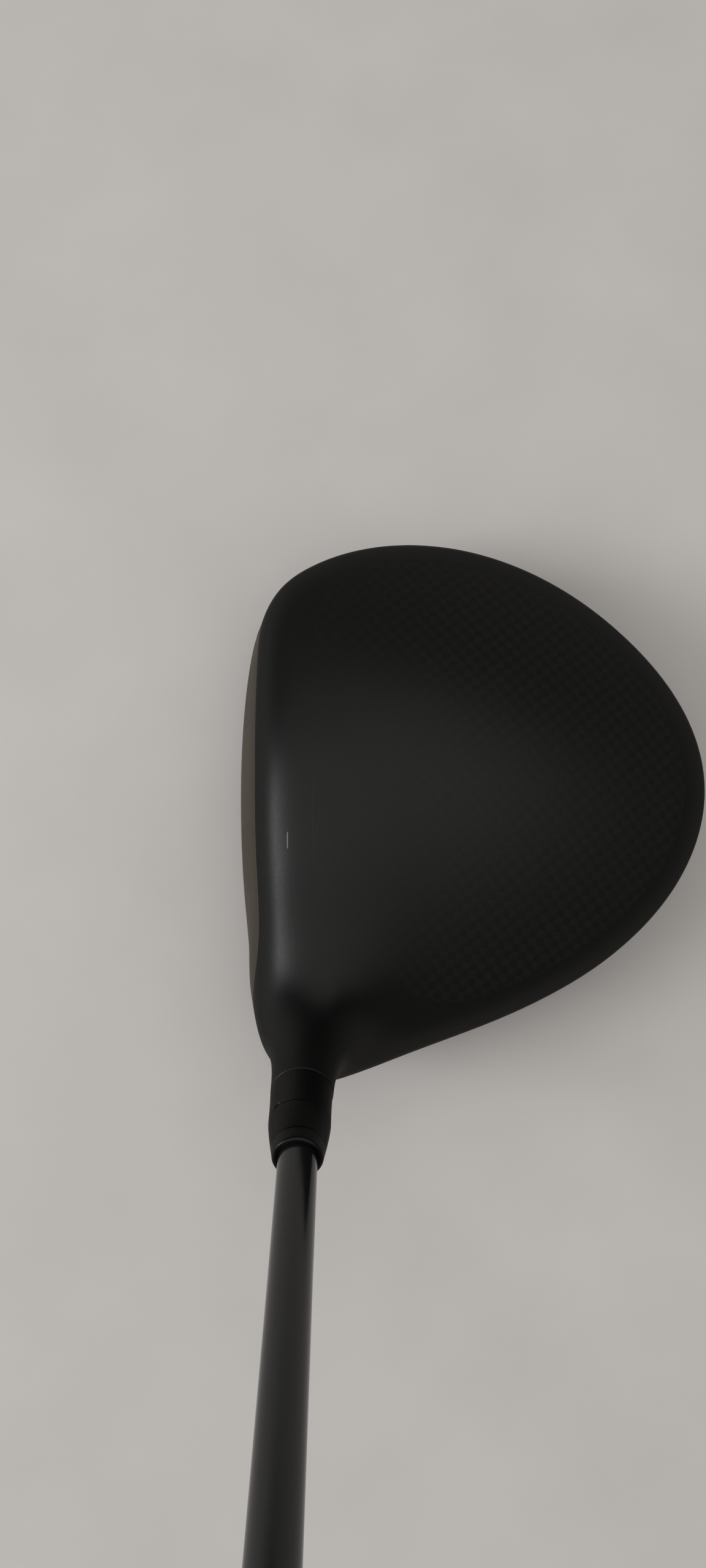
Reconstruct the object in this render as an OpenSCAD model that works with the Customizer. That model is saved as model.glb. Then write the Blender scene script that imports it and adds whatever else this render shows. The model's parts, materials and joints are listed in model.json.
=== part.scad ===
// Golf driver, right-handed, with an adjustable hosel and two screw-in sole weights.
// Origin: the point of the sole that rests on the ground. +Z up, -X is the target, +Y is the toe.
// Every length is in millimetres and every angle in degrees.

/* [Head] */
// Height of the crown above the ground
crown_top = 58; // [57:0.5:62]
// Loft of the face
loft = 10.5; // [8:0.5:13]
// Radius of the face's bulge and roll
face_radius = 340; // [280:10:400]
// Distance of the face's centre in front of the origin
face_x = 38; // [36:0.5:40]
// Height of the face's centre
face_z = 28; // [24:0.5:32]

/* [Walls] */
// Thickness of the bonded crown and sole panels
panel_t = 0.8; // [0.7:0.1:1.2]
// Depth of the casting under a panel's edge, panel included
ledge_t = 1.6; // [1.5:0.1:2.4]
// Thickness of the casting's side wall
wall_t = 1.0; // [0.9:0.1:2]
// Thickness of the face plate
face_t = 2.8; // [2.4:0.1:4]
// Width of the ledge that a panel is bonded to
ledge_w = 6; // [4:0.5:8]

/* [Hosel] */
// Lie angle of the shaft
lie = 58.5; // [56:0.5:61]
// Outside radius of the hosel's neck
neck_r = 7.1; // [6.8:0.1:7.6]
// Distance from the ground to the hosel's top, along its axis
hosel_top = 76.2; // [72:0.2:80]
// Length of the adjustment ring
ring_len = 10.6; // [8:0.2:12]
// Length of the sleeve's visible collar
collar_len = 7.7; // [6:0.1:10]
// Length of the ferrule
ferrule_len = 3.1; // [2:0.1:6]

/* [Shaft and grip] */
// Length of the club along the shaft's axis
club_len = 1156; // [1100:1:1168]
// Radius of the shaft's parallel tip
tip_r = 4.25; // [4.2:0.05:4.6]
// Radius of the shaft's butt end
butt_r = 7.6; // [7.2:0.1:7.9]
// Length of the grip, cap included
grip_len = 268; // [255:1:280]

/* [Screws and weights] */
// Radius of the screws' threads
screw_r = 2.5; // [2.5:0.1:2.6]
// Radial play of a screw or sliding fit
play = 0.05; // [0.04:0.01:0.08]
// Radius of the rear weight
rear_weight_r = 10.5; // [9:0.5:11]
// Radius of the front weight
front_weight_r = 6.5; // [6:0.5:7.5]
// Thickness of both weights
weight_t = 5; // [4:0.5:6]

/* [Hidden] */
$fn = 64;

// Plan of the head: a closed curve held by twelve radii, one every 30 degrees about plan_c,
// from the tail (+X) round by the toe (+Y), the face (-X) and the heel.
plan_c = [4, -2];
plan_r = [85, 73.5, 69, 67, 64, 54, 48, 54, 86, 68, 66, 74.5];
// Heights of the crown's and of the sole's edge at the face, toe, tail and heel
crown_edge = [49, 32, 33.5, 34];
sole_edge = [5, 17, 25, 18];
// How softly the crown and the sole are rounded in the middle
crown_soft = 0.65;
sole_soft = 0.4;
// Depth by which the sole is cut flat where it rests on the ground
sole_pad = 0.8;
// Widths of the rounded edges: rim, sole rim, crown to face, sole to face, neck to head
rim_round = 12;
skirt_round = 12;
brow_round = 11;
lead_round = 8;
neck_round = [28, 39];
// How far the face plate stays inside the head's edges, and the rounding of its corners
face_margin = 2;
face_drop = 3.6;
face_corner = 14;

// Grids of the head's outer and inner skins, and the inside point that they are seen from
fine_grid = [80, 36];
coarse_grid = [48, 22];
skin_o = [0, -2, 28];
skin_reach = 120;

// Hosel axis: the point where it meets the ground, and stations measured up it from there
hosel_x = -20.7;
hosel_y = -38;
tube_r = 6.2;
tube_foot = 13;
bore_r = 5.15;
port_r = 4.75;
web_bottom = 20;
web_top = 23;
barrel_foot = 42;
collar_foot = hosel_top + ring_len;
collar_end = collar_foot + collar_len;
ferrule_end = collar_end + ferrule_len;
shaft_foot = 56;
dog_h = 1.4;

screw_head_r = 4.2;
screw_head_h = 5;
washer_t = 1.2;
socket_r = 2.4;
socket_h = 3;

rear_at = [62, -4];
front_at = [-20, 10];
front_boss_r = 9;
rear_boss_r = 13.5;
boss_h = 14;
weight_gap = 0.1;
weight_sunk = 0.4;
weight_head_r = 3.6;
weight_head_h = 3;
weight_screw_len = 11.5;

cap_len = 6;
tape_t = 0.3;
shaft_wall = 1.2;
shaft_end = club_len - cap_len;
grip_foot = club_len - grip_len;
tape_foot = grip_foot + 5;
tip_parallel = 130;

// ---- the head's shape, as one function of a point: negative inside, zero on the skin ----

function smooth_max(a, b, k) =
    let (h = max(k - abs(a - b), 0) / k)
    max(a, b) + h * h * h * k / 6;

function smooth_min(a, b, k) = -smooth_max(-a, -b, k);

// Plan radius in the direction t: a cubic B-spline round the twelve radii
function plan_radius(t) =
    let (n = len(plan_r), s = (t / 360 * n + n) % n, i = floor(s), u = s - i, v = 1 - u)
    (v * v * v * plan_r[(i + n - 1) % n]
     + (3 * u * u * u - 6 * u * u + 4) * plan_r[i % n]
     + (3 * v * v * v - 6 * v * v + 4) * plan_r[(i + 1) % n]
     + u * u * u * plan_r[(i + 2) % n]) / 6;

// A height that passes smoothly through its face, toe, tail and heel values
function edge_height(q, t) =
    (q[0] + q[1] + q[2] + q[3]) / 4
    + (q[2] - q[0]) / 2 * cos(t)
    + (q[1] - q[3]) / 2 * sin(t)
    + (q[2] + q[0] - q[1] - q[3]) / 4 * cos(2 * t);

function polar_of(x, y) =
    let (dx = x - plan_c[0], dy = y - plan_c[1])
    [norm([dx, dy]), atan2(dy, dx)];

// How far a surface has gone from its middle, 0, to its edge, 1: a cone with a rounded tip
function rise(rho, soft) = (norm([rho, soft]) - soft) / (norm([1, soft]) - soft);

function sole_height(x, y) =
    let (p = polar_of(x, y))
    edge_height(sole_edge, p[1]) * rise(p[0] / plan_radius(p[1]), sole_soft) - sole_pad;

function crown_height(x, y) =
    let (p = polar_of(x, y), e = edge_height(crown_edge, p[1]))
    crown_top + (e - crown_top) * rise(p[0] / plan_radius(p[1]), crown_soft);

face_n = [-cos(loft), 0, sin(loft)];
face_c = [-face_x, 0, face_z];
face_o = face_c - face_radius * face_n;

// Heights and distances are turned into rough distances from each surface by these factors
height_scale = 0.92;
plan_scale = 0.96;

// Distances from the crown, side, sole and face
function from_crown(p) = (p[2] - crown_height(p[0], p[1])) * height_scale;
function from_sole(p) = (sole_height(p[0], p[1]) - p[2]) * height_scale;
function from_side(p) =
    let (q = polar_of(p[0], p[1]))
    (q[0] - plan_radius(q[1])) * plan_scale;
function from_face(p) = norm(p - face_o) - face_radius;

// The head without its neck, each surface moved in by d = [crown, side, sole, face]
function head_field(p, d) =
    let (c = from_crown(p) + d[0], s = from_side(p) + d[1],
         b = from_sole(p) + d[2], f = from_face(p) + d[3])
    max(smooth_max(smooth_max(s, c, rim_round), f, brow_round),
        smooth_max(smooth_max(s, b, skirt_round), f, lead_round));

hosel_g = [hosel_x, hosel_y, 0];
hosel_a = [0, -cos(lie), sin(lie)];

// Distance from the neck, a rod that starts at neck_start inside the head
neck_start = 34;
function neck_field(p) =
    let (q = p - hosel_g)
    norm(q - max(q * hosel_a, neck_start) * hosel_a) - neck_r;

// The fillet between neck and head: tight on the face's side and generous behind
function neck_blend(p) =
    let (w = min(max((p[0] + 30) / 18, 0), 1))
    neck_round[0] + (neck_round[1] - neck_round[0]) * w * w * (3 - 2 * w);

// The head with its neck. A head skin takes the fillet only up to where it stands as proud of
// the head as of the neck, and the neck's own rings carry on from there.
function whole_field(p, d) = smooth_min(head_field(p, d), neck_field(p), neck_blend(p));
function filleted_field(p, d) = max(whole_field(p, d), head_field(p, d) - neck_blend(p) / 6);

function field(kind, p, d) =
    kind == "outer" ? filleted_field(p, d) :
    kind == "inner" ? head_field(p, d) :
    kind == "neck" ? whole_field(p, d) :
    kind == "face" ? face_outline(p) :
    kind == "crown" ? crown_outline(p) :
    sole_outline(p);

// Distance from o to where a ray leaves a field, by halving the interval from lo to hi
function leave(kind, d, o, ray, lo, hi, steps = 22) =
    steps == 0 ? (lo + hi) / 2 :
    let (mid = (lo + hi) / 2)
    field(kind, o + ray * mid, d) < 0 ? leave(kind, d, o, ray, mid, hi, steps - 1)
                                      : leave(kind, d, o, ray, lo, mid, steps - 1);

// Outlines. The face plate keeps off the head's edges. In plan, the crown panel stays in from
// the rim, behind the brow and clear of the neck, and the sole panel stays in from the skirt,
// behind the pad that the club rests on and clear of the rear weight.
function face_outline(p) =
    smooth_max(smooth_max(from_crown(p) + face_drop, from_sole(p) + 1.5, face_corner / 3),
               from_side(p), face_corner)
    + face_margin;

crown_front = -19;
crown_in = 8;
crown_corner = 16;
neck_at = [-21, -70];
neck_clear = 26;
function crown_outline(p) =
    smooth_max(smooth_max(from_side(p) + crown_in, crown_front - p[0], crown_corner),
               neck_clear - norm([p[0], p[1]] - neck_at), 2 * crown_corner);

sole_front = 22;
sole_in = 17;
sole_corner = 14;
weight_clear = 18;
function sole_outline(p) =
    smooth_max(smooth_max(from_side(p) + sole_in, sole_front - p[0], sole_corner),
               weight_clear - norm([p[0], p[1]] - rear_at), sole_corner);

// ---- skins ----

// Elevation of a skin's row, from -90 to 90 as w goes from -1 to 1, with rows closer at the rim
function row_angle(w) = 90 * (0.6 * w + 0.4 * w * w * w);

// A closed skin of the head, seen from skin_o as rows of points from pole to pole
module skin(kind, d, grid) {
    n = grid[0];
    m = grid[1];
    rows = [for (j = [1:m - 1], i = [0:n - 1])
        let (v = row_angle(2 * j / m - 1), u = 360 * i / n,
             ray = [cos(v) * cos(u), cos(v) * sin(u), sin(v)])
        skin_o + ray * leave(kind, d, skin_o, ray, 0, skin_reach)];
    poles = [for (z = [-1, 1]) skin_o + [0, 0, z] * leave(kind, d, skin_o, [0, 0, z], 0, skin_reach)];
    last = (m - 2) * n;
    count = (m - 1) * n;
    polyhedron(
        points = concat(rows, poles),
        faces = concat(
            [for (i = [0:n - 1]) [count, i, (i + 1) % n]],
            tube_faces(n, m - 1),
            [for (i = [0:n - 1]) [count + 1, last + (i + 1) % n, last + i]]),
        convexity = 4);
}

// Triangles between rows of n points each
function tube_faces(n, rows) =
    [for (j = [0:rows - 2], i = [0:n - 1], half = [0, 1])
        let (a = j * n + i, b = j * n + (i + 1) % n)
        half == 0 ? [a, a + n, b] : [b, a + n, b + n]];

no_inset = [0, 0, 0, 0];
seat_inset = [panel_t, panel_t, panel_t, panel_t];
inner_inset = [ledge_t, wall_t, ledge_t, face_t];
module outer_skin() skin("outer", no_inset, fine_grid);
module seat_skin() skin("outer", seat_inset, fine_grid);
module inner_skin() skin("inner", inner_inset, coarse_grid);

// The neck above the fillet: rings square to the hosel's axis, which start inside the head and
// lie just inside its skin there, so that the two join along one clean line
neck_n = 32;
neck_rows = 11;
neck_foot = 46;
neck_reach = 16;
neck_inset = [0.12, 0.12, 0.12, 0.12];
module neck() {
    side = [1, 0, 0];
    up = cross(hosel_a, side);
    points = [for (j = [0:neck_rows - 1], i = [0:neck_n - 1])
        let (o = hosel_g + (neck_foot + (hosel_top - neck_foot) * j / (neck_rows - 1)) * hosel_a,
             a = 360 * i / neck_n, ray = cos(a) * side + sin(a) * up)
        o + ray * leave("neck", neck_inset, o, ray, 0, neck_reach)];
    last = (neck_rows - 1) * neck_n;
    polyhedron(
        points = points,
        faces = concat(
            [[for (i = [0:neck_n - 1]) i]],
            tube_faces(neck_n, neck_rows),
            [[for (i = [neck_n - 1:-1:0]) last + i]]),
        convexity = 4);
}

// Outline of a piece in plan, or of the face plate on the face, as one closed polygon
outline_n = 72;
crown_o = [18, -2, 0];
sole_o = [32, 0, 0];
function plan_outline(kind, o, shrink) =
    [for (i = [0:outline_n - 1])
        let (t = 360 * i / outline_n, ray = [cos(t), sin(t), 0],
             r = leave(kind, no_inset, o, ray, 0, skin_reach) - shrink)
        [o[0] + r * ray[0], o[1] + r * ray[1]]];

// The crown's prisms start at prism_foot and the sole's end at prism_top, inside the head
prism_foot = 30;
prism_top = 26;
module crown_prism(shrink, foot) {
    translate([0, 0, foot])
        linear_extrude(60)
            polygon(plan_outline("crown", crown_o, shrink));
}

module sole_prism(shrink, top) {
    translate([0, 0, -5])
        linear_extrude(top + 5)
            polygon(plan_outline("sole", sole_o, shrink));
}

// The face plate's edge: a prism square to the face, through the whole wall
module face_prism() {
    across = [sin(loft), 0, cos(loft)];
    edge = [for (i = [0:outline_n - 1])
        let (t = 360 * i / outline_n, ray = cos(t) * across + sin(t) * [0, 1, 0],
             r = leave("face", no_inset, face_c - face_n, ray, 0, skin_reach))
        [-r * cos(t), r * sin(t)]];
    translate(face_c)
        rotate([0, loft - 90, 0])
            translate([0, 0, -8])
                linear_extrude(18)
                    polygon(edge);
}

// ---- frames ----

module on_hosel(s) {
    translate(hosel_g + s * hosel_a)
        rotate([90 - lie, 0, 0])
            children();
}

// A weight's frame: its origin is on the sole, and +Z points into the head, square to the sole
module on_sole(at) {
    slope = [sole_height(at[0] + 1, at[1]) - sole_height(at[0] - 1, at[1]),
             sole_height(at[0], at[1] + 1) - sole_height(at[0], at[1] - 1)] / 2;
    translate([at[0], at[1], sole_height(at[0], at[1])])
        rotate(a = atan(norm(slope)), v = [slope[1], -slope[0], 0])
            children();
}

module at_rear() on_sole(rear_at) children();
module at_front() on_sole(front_at) children();

module pipe(r_out, r_in, foot, top) {
    translate([0, 0, foot])
        difference() {
            cylinder(r = r_out, h = top - foot);
            translate([0, 0, -1])
                cylinder(r = r_in, h = top - foot + 2);
        }
}

module rod(r, foot, top) {
    translate([0, 0, foot])
        cylinder(r = r, h = top - foot);
}

// Dog teeth: n blocks of a ring, each wide degrees across
module dogs(n, wide, r_in, r_out, foot, top) {
    for (i = [0:n - 1])
        rotate([0, 0, 360 / n * i - wide / 2])
            translate([0, 0, foot])
                rotate_extrude(angle = wide)
                    translate([r_in, 0])
                        square([r_out - r_in, top - foot]);
}

// Six-lobed drive socket
module star_socket(depth) {
    union() {
        rod(socket_r * 0.72, -1, depth);
        for (i = [0:5])
            rotate([0, 0, 60 * i])
                translate([socket_r * 0.72, 0, 0])
                    rod(socket_r * 0.28, -1, depth);
    }
}

// ---- head ----

module bosses() {
    at_front()
        rod(front_boss_r, -6, boss_h);
    at_rear()
        rod(rear_boss_r, -6, boss_h);
    on_hosel(0)
        rod(tube_r + 1.4, 0, web_top);
}

// The casting before its round holes are bored
module casting() {
    difference() {
        union() {
            outer_skin();
            neck();
        }
        difference() {
            inner_skin();
            bosses();
        }
        face_prism();
        difference() {
            crown_prism(0, prism_foot);
            seat_skin();
        }
        crown_prism(ledge_w, prism_foot);
        difference() {
            sole_prism(0, prism_top);
            seat_skin();
        }
        sole_prism(ledge_w, prism_top);
    }
}

module body() {
    color("#2b2b2d")
        difference() {
            resize([0, 0, 0])
                casting();
            translate([-60, -80, -10])
                cube([160, 160, 10]);
            on_hosel(0)
                rod(tube_r, -8, hosel_top + 5);
            at_front()
                rod(front_weight_r + weight_gap, -6, weight_sunk + weight_t);
            at_front()
                rod(screw_r, 0, boss_h - 1);
            at_rear()
                rod(rear_weight_r + weight_gap, -10, weight_sunk + weight_t);
            at_rear()
                rod(screw_r, 0, boss_h - 1);
        }
}

module face_plate() {
    color("#6f6a66")
        resize([0, 0, 0])
            intersection() {
                difference() {
                    outer_skin();
                    inner_skin();
                }
                face_prism();
            }
}

module crown_panel() {
    color("#1d1d1f")
        resize([0, 0, 0])
            intersection() {
                difference() {
                    outer_skin();
                    seat_skin();
                }
                crown_prism(0, prism_foot);
            }
}

module sole_panel() {
    color("#262628")
        resize([0, 0, 0])
            intersection() {
                difference() {
                    outer_skin();
                    seat_skin();
                }
                sole_prism(0, prism_top);
            }
}

module hosel_tube() {
    color("#8b8b8e")
        on_hosel(0)
            difference() {
                rod(tube_r, tube_foot, hosel_top);
                rod(port_r, tube_foot - 1, web_bottom);
                rod(screw_r + 0.3, web_bottom - 1, web_top + 1);
                rod(bore_r, web_top, hosel_top + 1);
                dogs(4, 24, bore_r - 1, tube_r + 1, hosel_top - dog_h - 0.1, hosel_top + 1);
            }
}

module screw_retainer() {
    color("#1a1a1a")
        on_hosel(0)
            pipe(bore_r, screw_r, web_top, web_top + 1.6);
}

// ---- screws ----

// A socket-head screw with its head at the foot, from the head's outer face up
module screw(head_r, head_h, length) {
    difference() {
        union() {
            rod(head_r, 0, head_h);
            rod(screw_r - play, head_h, head_h + length);
        }
        star_socket(socket_h - 1);
    }
}

module screw_washer() {
    color("#b9bbbe")
        on_hosel(0)
            pipe(screw_head_r + 0.3, screw_r, web_bottom - washer_t, web_bottom);
}

module hosel_screw() {
    color("#8d8f92")
        on_hosel(web_bottom - washer_t - screw_head_h)
            screw(screw_head_r, screw_head_h, 31);
}

// ---- weights ----

module weight(r) {
    difference() {
        rod(r, weight_sunk, weight_sunk + weight_t);
        rod(weight_head_r + weight_gap, 0, weight_sunk + weight_head_h);
        rod(screw_r, 0, weight_sunk + weight_t + 1);
    }
}

module weight_screw() {
    translate([0, 0, weight_sunk])
        screw(weight_head_r, weight_head_h, weight_screw_len - weight_head_h);
}

module front_weight() {
    color("#77797c")
        at_front()
            weight(front_weight_r);
}

module front_weight_screw() {
    color("#8d8f92")
        at_front()
            weight_screw();
}

module rear_weight() {
    color("#77797c")
        at_rear()
            weight(rear_weight_r);
}

module rear_weight_screw() {
    color("#8d8f92")
        at_rear()
            weight_screw();
}

// ---- adjustable hosel ----

// The outside narrows a little along the ring, then more along the collar and the ferrule
collar_r = 6.9;
collar_end_r = 5.95;
ferrule_end_r = 5.3;

module adjustment_ring() {
    color("#1f1f21")
        on_hosel(0)
            union() {
                difference() {
                    translate([0, 0, hosel_top])
                        cylinder(r1 = neck_r, r2 = collar_r, h = collar_foot - hosel_top);
                    rod(bore_r, hosel_top - 1, collar_foot);
                    rod(tube_r + 0.3, collar_foot - dog_h, collar_foot + 1);
                }
                dogs(4, 22, bore_r, tube_r - 0.1, hosel_top - dog_h, hosel_top);
                dogs(12, 13, bore_r, tube_r + 0.3, collar_foot - dog_h, collar_foot);
            }
}

// The sleeve: a barrel in the hosel's bore, a collar, and twelve dogs that stand between the
// ring's
module adapter_sleeve() {
    root_r = bore_r - 0.4;
    color("#2a2a2c")
        on_hosel(0)
            difference() {
                union() {
                    rod(bore_r - play, barrel_foot, collar_foot);
                    rotate([0, 0, 15])
                        dogs(12, 15, root_r, tube_r + 0.2, collar_foot - dog_h + 0.1, collar_foot + 0.5);
                    rotate_extrude()
                        polygon([
                            [0, collar_foot],
                            [collar_r, collar_foot],
                            [collar_r - 0.15, collar_foot + 2],
                            [collar_r - 0.5, collar_foot + 4.8],
                            [collar_end_r, collar_end],
                            [0, collar_end]]);
                }
                rod(tip_r, shaft_foot, collar_end + 1);
                rod(screw_r, barrel_foot - 1, shaft_foot - 2);
            }
}

module ferrule() {
    color("#121213")
        on_hosel(0)
            difference() {
                rotate_extrude()
                    polygon([
                        [0, collar_end],
                        [collar_end_r, collar_end],
                        [ferrule_end_r + 0.3, ferrule_end - 0.6],
                        [ferrule_end_r, ferrule_end],
                        [0, ferrule_end]]);
                rod(tip_r, collar_end - 1, ferrule_end + 1);
            }
}

// ---- shaft and grip ----

function shaft_radius(s) =
    s < tip_parallel ? tip_r :
    tip_r + (butt_r - tip_r) * (s - tip_parallel) / (shaft_end - tip_parallel);

module tip_plug() {
    color("#b08d57")
        on_hosel(0)
            rod(tip_r - shaft_wall, shaft_foot, shaft_foot + 9);
}

module shaft() {
    color("#232629")
        on_hosel(0)
            rotate_extrude()
                polygon([
                    [tip_r - shaft_wall, shaft_foot],
                    [tip_r, shaft_foot],
                    [tip_r, tip_parallel],
                    [butt_r, shaft_end],
                    [butt_r - shaft_wall, shaft_end],
                    [tip_r - shaft_wall, tip_parallel]]);
}

module grip_tape() {
    color("#d8d2c0")
        on_hosel(0)
            rotate_extrude()
                polygon([
                    [shaft_radius(tape_foot), tape_foot],
                    [shaft_radius(tape_foot) + tape_t, tape_foot],
                    [butt_r + tape_t, shaft_end],
                    [butt_r, shaft_end]]);
}

module grip() {
    mouth_r = 8.9;
    color("#161617")
        on_hosel(0)
            rotate_extrude()
                polygon([
                    [shaft_radius(grip_foot), grip_foot],
                    [mouth_r - 0.5, grip_foot],
                    [mouth_r, grip_foot + 1.2],
                    [10.2, grip_foot + 120],
                    [11.7, shaft_end - 45],
                    [12.9, shaft_end - 8],
                    [14.2, shaft_end],
                    [butt_r + tape_t, shaft_end],
                    [shaft_radius(tape_foot) + tape_t, tape_foot],
                    [shaft_radius(tape_foot), tape_foot]]);
}

module grip_cap() {
    vent_r = 1.5;
    color("#1c1c1d")
        on_hosel(0)
            difference() {
                rotate_extrude()
                    polygon([
                        [0, shaft_end],
                        [15.4, shaft_end],
                        [15.9, shaft_end + 1.2],
                        [15.7, shaft_end + 3.4],
                        [13.6, club_len - 0.8],
                        [10, club_len],
                        [0, club_len]]);
                rod(vent_r, shaft_end - 1, club_len + 1);
            }
}

body();
face_plate();
crown_panel();
sole_panel();
hosel_tube();
screw_retainer();
screw_washer();
hosel_screw();
front_weight();
front_weight_screw();
rear_weight();
rear_weight_screw();
adjustment_ring();
adapter_sleeve();
ferrule();
tip_plug();
shaft();
grip_tape();
grip();
grip_cap();
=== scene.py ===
"""Golf driver: the looks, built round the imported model.

The head's skin is one function of a point, made from the CAD's dimensions. It is meshed and cut
along the outlines of the face, crown and sole, and each piece becomes a closed shell. The turned
pieces are swept round their axes. Lengths here are millimetres in the model's own frame until a
mesh is made.
"""

import math

import bpy
import numpy as np
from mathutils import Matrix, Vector
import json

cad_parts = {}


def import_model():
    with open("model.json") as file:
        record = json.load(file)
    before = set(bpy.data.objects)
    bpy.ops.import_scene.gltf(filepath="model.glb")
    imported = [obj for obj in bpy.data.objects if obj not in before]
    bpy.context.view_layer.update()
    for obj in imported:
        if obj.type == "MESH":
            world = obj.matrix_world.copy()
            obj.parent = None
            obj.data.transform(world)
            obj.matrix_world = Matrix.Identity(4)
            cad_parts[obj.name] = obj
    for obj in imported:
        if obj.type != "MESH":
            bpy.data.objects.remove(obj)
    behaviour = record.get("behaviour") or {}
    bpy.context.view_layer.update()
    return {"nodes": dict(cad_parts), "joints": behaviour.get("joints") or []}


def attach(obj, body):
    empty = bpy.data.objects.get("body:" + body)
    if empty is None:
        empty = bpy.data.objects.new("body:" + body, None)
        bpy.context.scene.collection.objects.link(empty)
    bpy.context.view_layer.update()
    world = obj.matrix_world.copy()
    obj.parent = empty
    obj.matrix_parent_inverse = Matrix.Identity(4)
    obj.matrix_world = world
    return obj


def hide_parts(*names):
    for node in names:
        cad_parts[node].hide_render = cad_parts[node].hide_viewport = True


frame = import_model()
MM = 0.001
JOINTS = {j["name"]: j for j in frame["joints"]}

# ---- driving dimensions, as the CAD has them ----

# Height of the crown, and the face: its loft, the radius of its bulge and its centre
CROWN_TOP = 58.0
LOFT = math.radians(10.5)
FACE_RADIUS = 340.0
FACE_CENTRE = np.array([-38.0, 0.0, 28.0])

# Plan of the head: twelve radii about a centre, from the tail by the toe, the face and the heel
PLAN_C = np.array([4.0, -2.0])
PLAN_R = np.array([85, 73.5, 69, 67, 64, 54, 48, 54, 86, 68, 66, 74.5])

# Heights of the crown's and the sole's edge at the face, toe, tail and heel, how softly each
# is rounded in the middle, and how deep the sole is cut flat
CROWN_EDGE = (49.0, 32.0, 33.5, 34.0)
SOLE_EDGE = (5.0, 17.0, 25.0, 18.0)
CROWN_SOFT, SOLE_SOFT, SOLE_PAD = 0.65, 0.4, 0.8

# Widths of the rounded edges: rim, crown to face, sole to face, and neck to head, which widens
# from front to back
RIM_ROUND, BROW_ROUND, LEAD_ROUND = 12.0, 11.0, 8.0
NECK_ROUND, NECK_ROUND_FROM, NECK_ROUND_OVER = (28.0, 39.0), -30.0, 18.0

# Factors that turn heights and radii into rough distances, and the shells' thicknesses
HEIGHT_SCALE, PLAN_SCALE = 0.92, 0.96
PANEL_T, WALL_T, FACE_T = 0.8, 1.0, 2.8

# The hosel, shaft and grip: radii, thicknesses, and heights along the hosel's axis
NECK_R, NECK_START, HOSEL_TOP = 7.1, 34.0, 76.2
TUBE_R, BORE_R, SCREW_R = 6.2, 5.15, 2.5
COLLAR_R, COLLAR_END_R, FERRULE_END_R = 6.9, 5.95, 5.3
COLLAR_FOOT, COLLAR_END, FERRULE_END = 86.8, 94.5, 97.6
BARREL_FOOT, SHAFT_FOOT, TIP_R, TIP_PARALLEL = 42.0, 56.0, 4.25, 130.0
BUTT_R, SHAFT_WALL, SHAFT_END, CLUB_LEN = 7.6, 1.2, 1150.0, 1156.0
GRIP_FOOT, TAPE_T, DOG_H = 888.0, 0.3, 1.4

# The weights and their screws' heads, and every screw's pitch
REAR_R, FRONT_R, WEIGHT_SUNK, WEIGHT_T = 10.5, 6.5, 0.4, 5.0
HEAD_R, HEAD_H, SCREW_PITCH = 3.6, 3.0, 0.8

# Blends that the CAD doesn't have: crown to sole at the widest line, and the sole's flat
EQUATOR_ROUND, EQUATOR_BAND, PAD_ROUND = 6.0, 12.0, 0.6

FACE_N = np.array([-math.cos(LOFT), 0.0, math.sin(LOFT)])
FACE_UP = np.array([math.sin(LOFT), 0.0, math.cos(LOFT)])
FACE_O = FACE_CENTRE - FACE_RADIUS * FACE_N
HOSEL_O = np.array(JOINTS["shaft_index"]["pos_m"]) / MM
HOSEL_A = np.array(JOINTS["shaft_lift"]["axis"], float)


# ---- the head's skin as a function of a point: negative inside, zero on the skin ----


def smooth_max(a, b, k):
    h = np.maximum(k - np.abs(a - b), 0) / k
    return np.maximum(a, b) + h**3 * k / 6


def smooth_min(a, b, k):
    return -smooth_max(-a, -b, k)


def ease(x):
    """0 below 0, 1 above 1, and a smooth step between."""
    x = np.clip(x, 0, 1)
    return x * x * (3 - 2 * x)


def plan_radius(t):
    """Plan radius in the direction t: a cubic B-spline round the twelve radii."""
    n = len(PLAN_R)
    s = (t / math.tau * n) % n
    i = np.floor(s).astype(int)
    u = s - i
    v = 1 - u
    weights = (v**3, 3 * u**3 - 6 * u**2 + 4, 3 * v**3 - 6 * v**2 + 4, u**3)
    return sum(w * PLAN_R[(i + k - 1) % n] for k, w in enumerate(weights)) / 6


def edge_height(q, t):
    """A height that passes smoothly through its face, toe, tail and heel values."""
    face, toe, tail, heel = q
    return (
        (face + toe + tail + heel) / 4
        + (tail - face) / 2 * np.cos(t)
        + (toe - heel) / 2 * np.sin(t)
        + (tail + face - toe - heel) / 4 * np.cos(2 * t)
    )


def rise(rho, soft):
    """How far a surface has gone from its middle, 0, to its edge, 1."""
    return (np.hypot(rho, soft) - soft) / (math.hypot(1, soft) - soft)


def distances(p):
    """Rough distances from the crown, side, sole and face."""
    dx, dy = p[..., 0] - PLAN_C[0], p[..., 1] - PLAN_C[1]
    t, r = np.arctan2(dy, dx), np.hypot(dx, dy)
    radius = plan_radius(t)
    edge = edge_height(CROWN_EDGE, t)
    crown = CROWN_TOP + (edge - CROWN_TOP) * rise(r / radius, CROWN_SOFT)
    sole = edge_height(SOLE_EDGE, t) * rise(r / radius, SOLE_SOFT) - SOLE_PAD
    return (
        (p[..., 2] - crown) * HEIGHT_SCALE,
        (r - radius) * PLAN_SCALE,
        (sole - p[..., 2]) * HEIGHT_SCALE,
        np.linalg.norm(p - FACE_O, axis=-1) - FACE_RADIUS,
    )


def along_hosel(p):
    """Height along the hosel's axis."""
    return (p - HOSEL_O) @ HOSEL_A


def from_hosel(p):
    """Distance from the hosel's axis."""
    q = p - HOSEL_O
    return np.linalg.norm(q - (q @ HOSEL_A)[..., None] * HOSEL_A, axis=-1)


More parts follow.
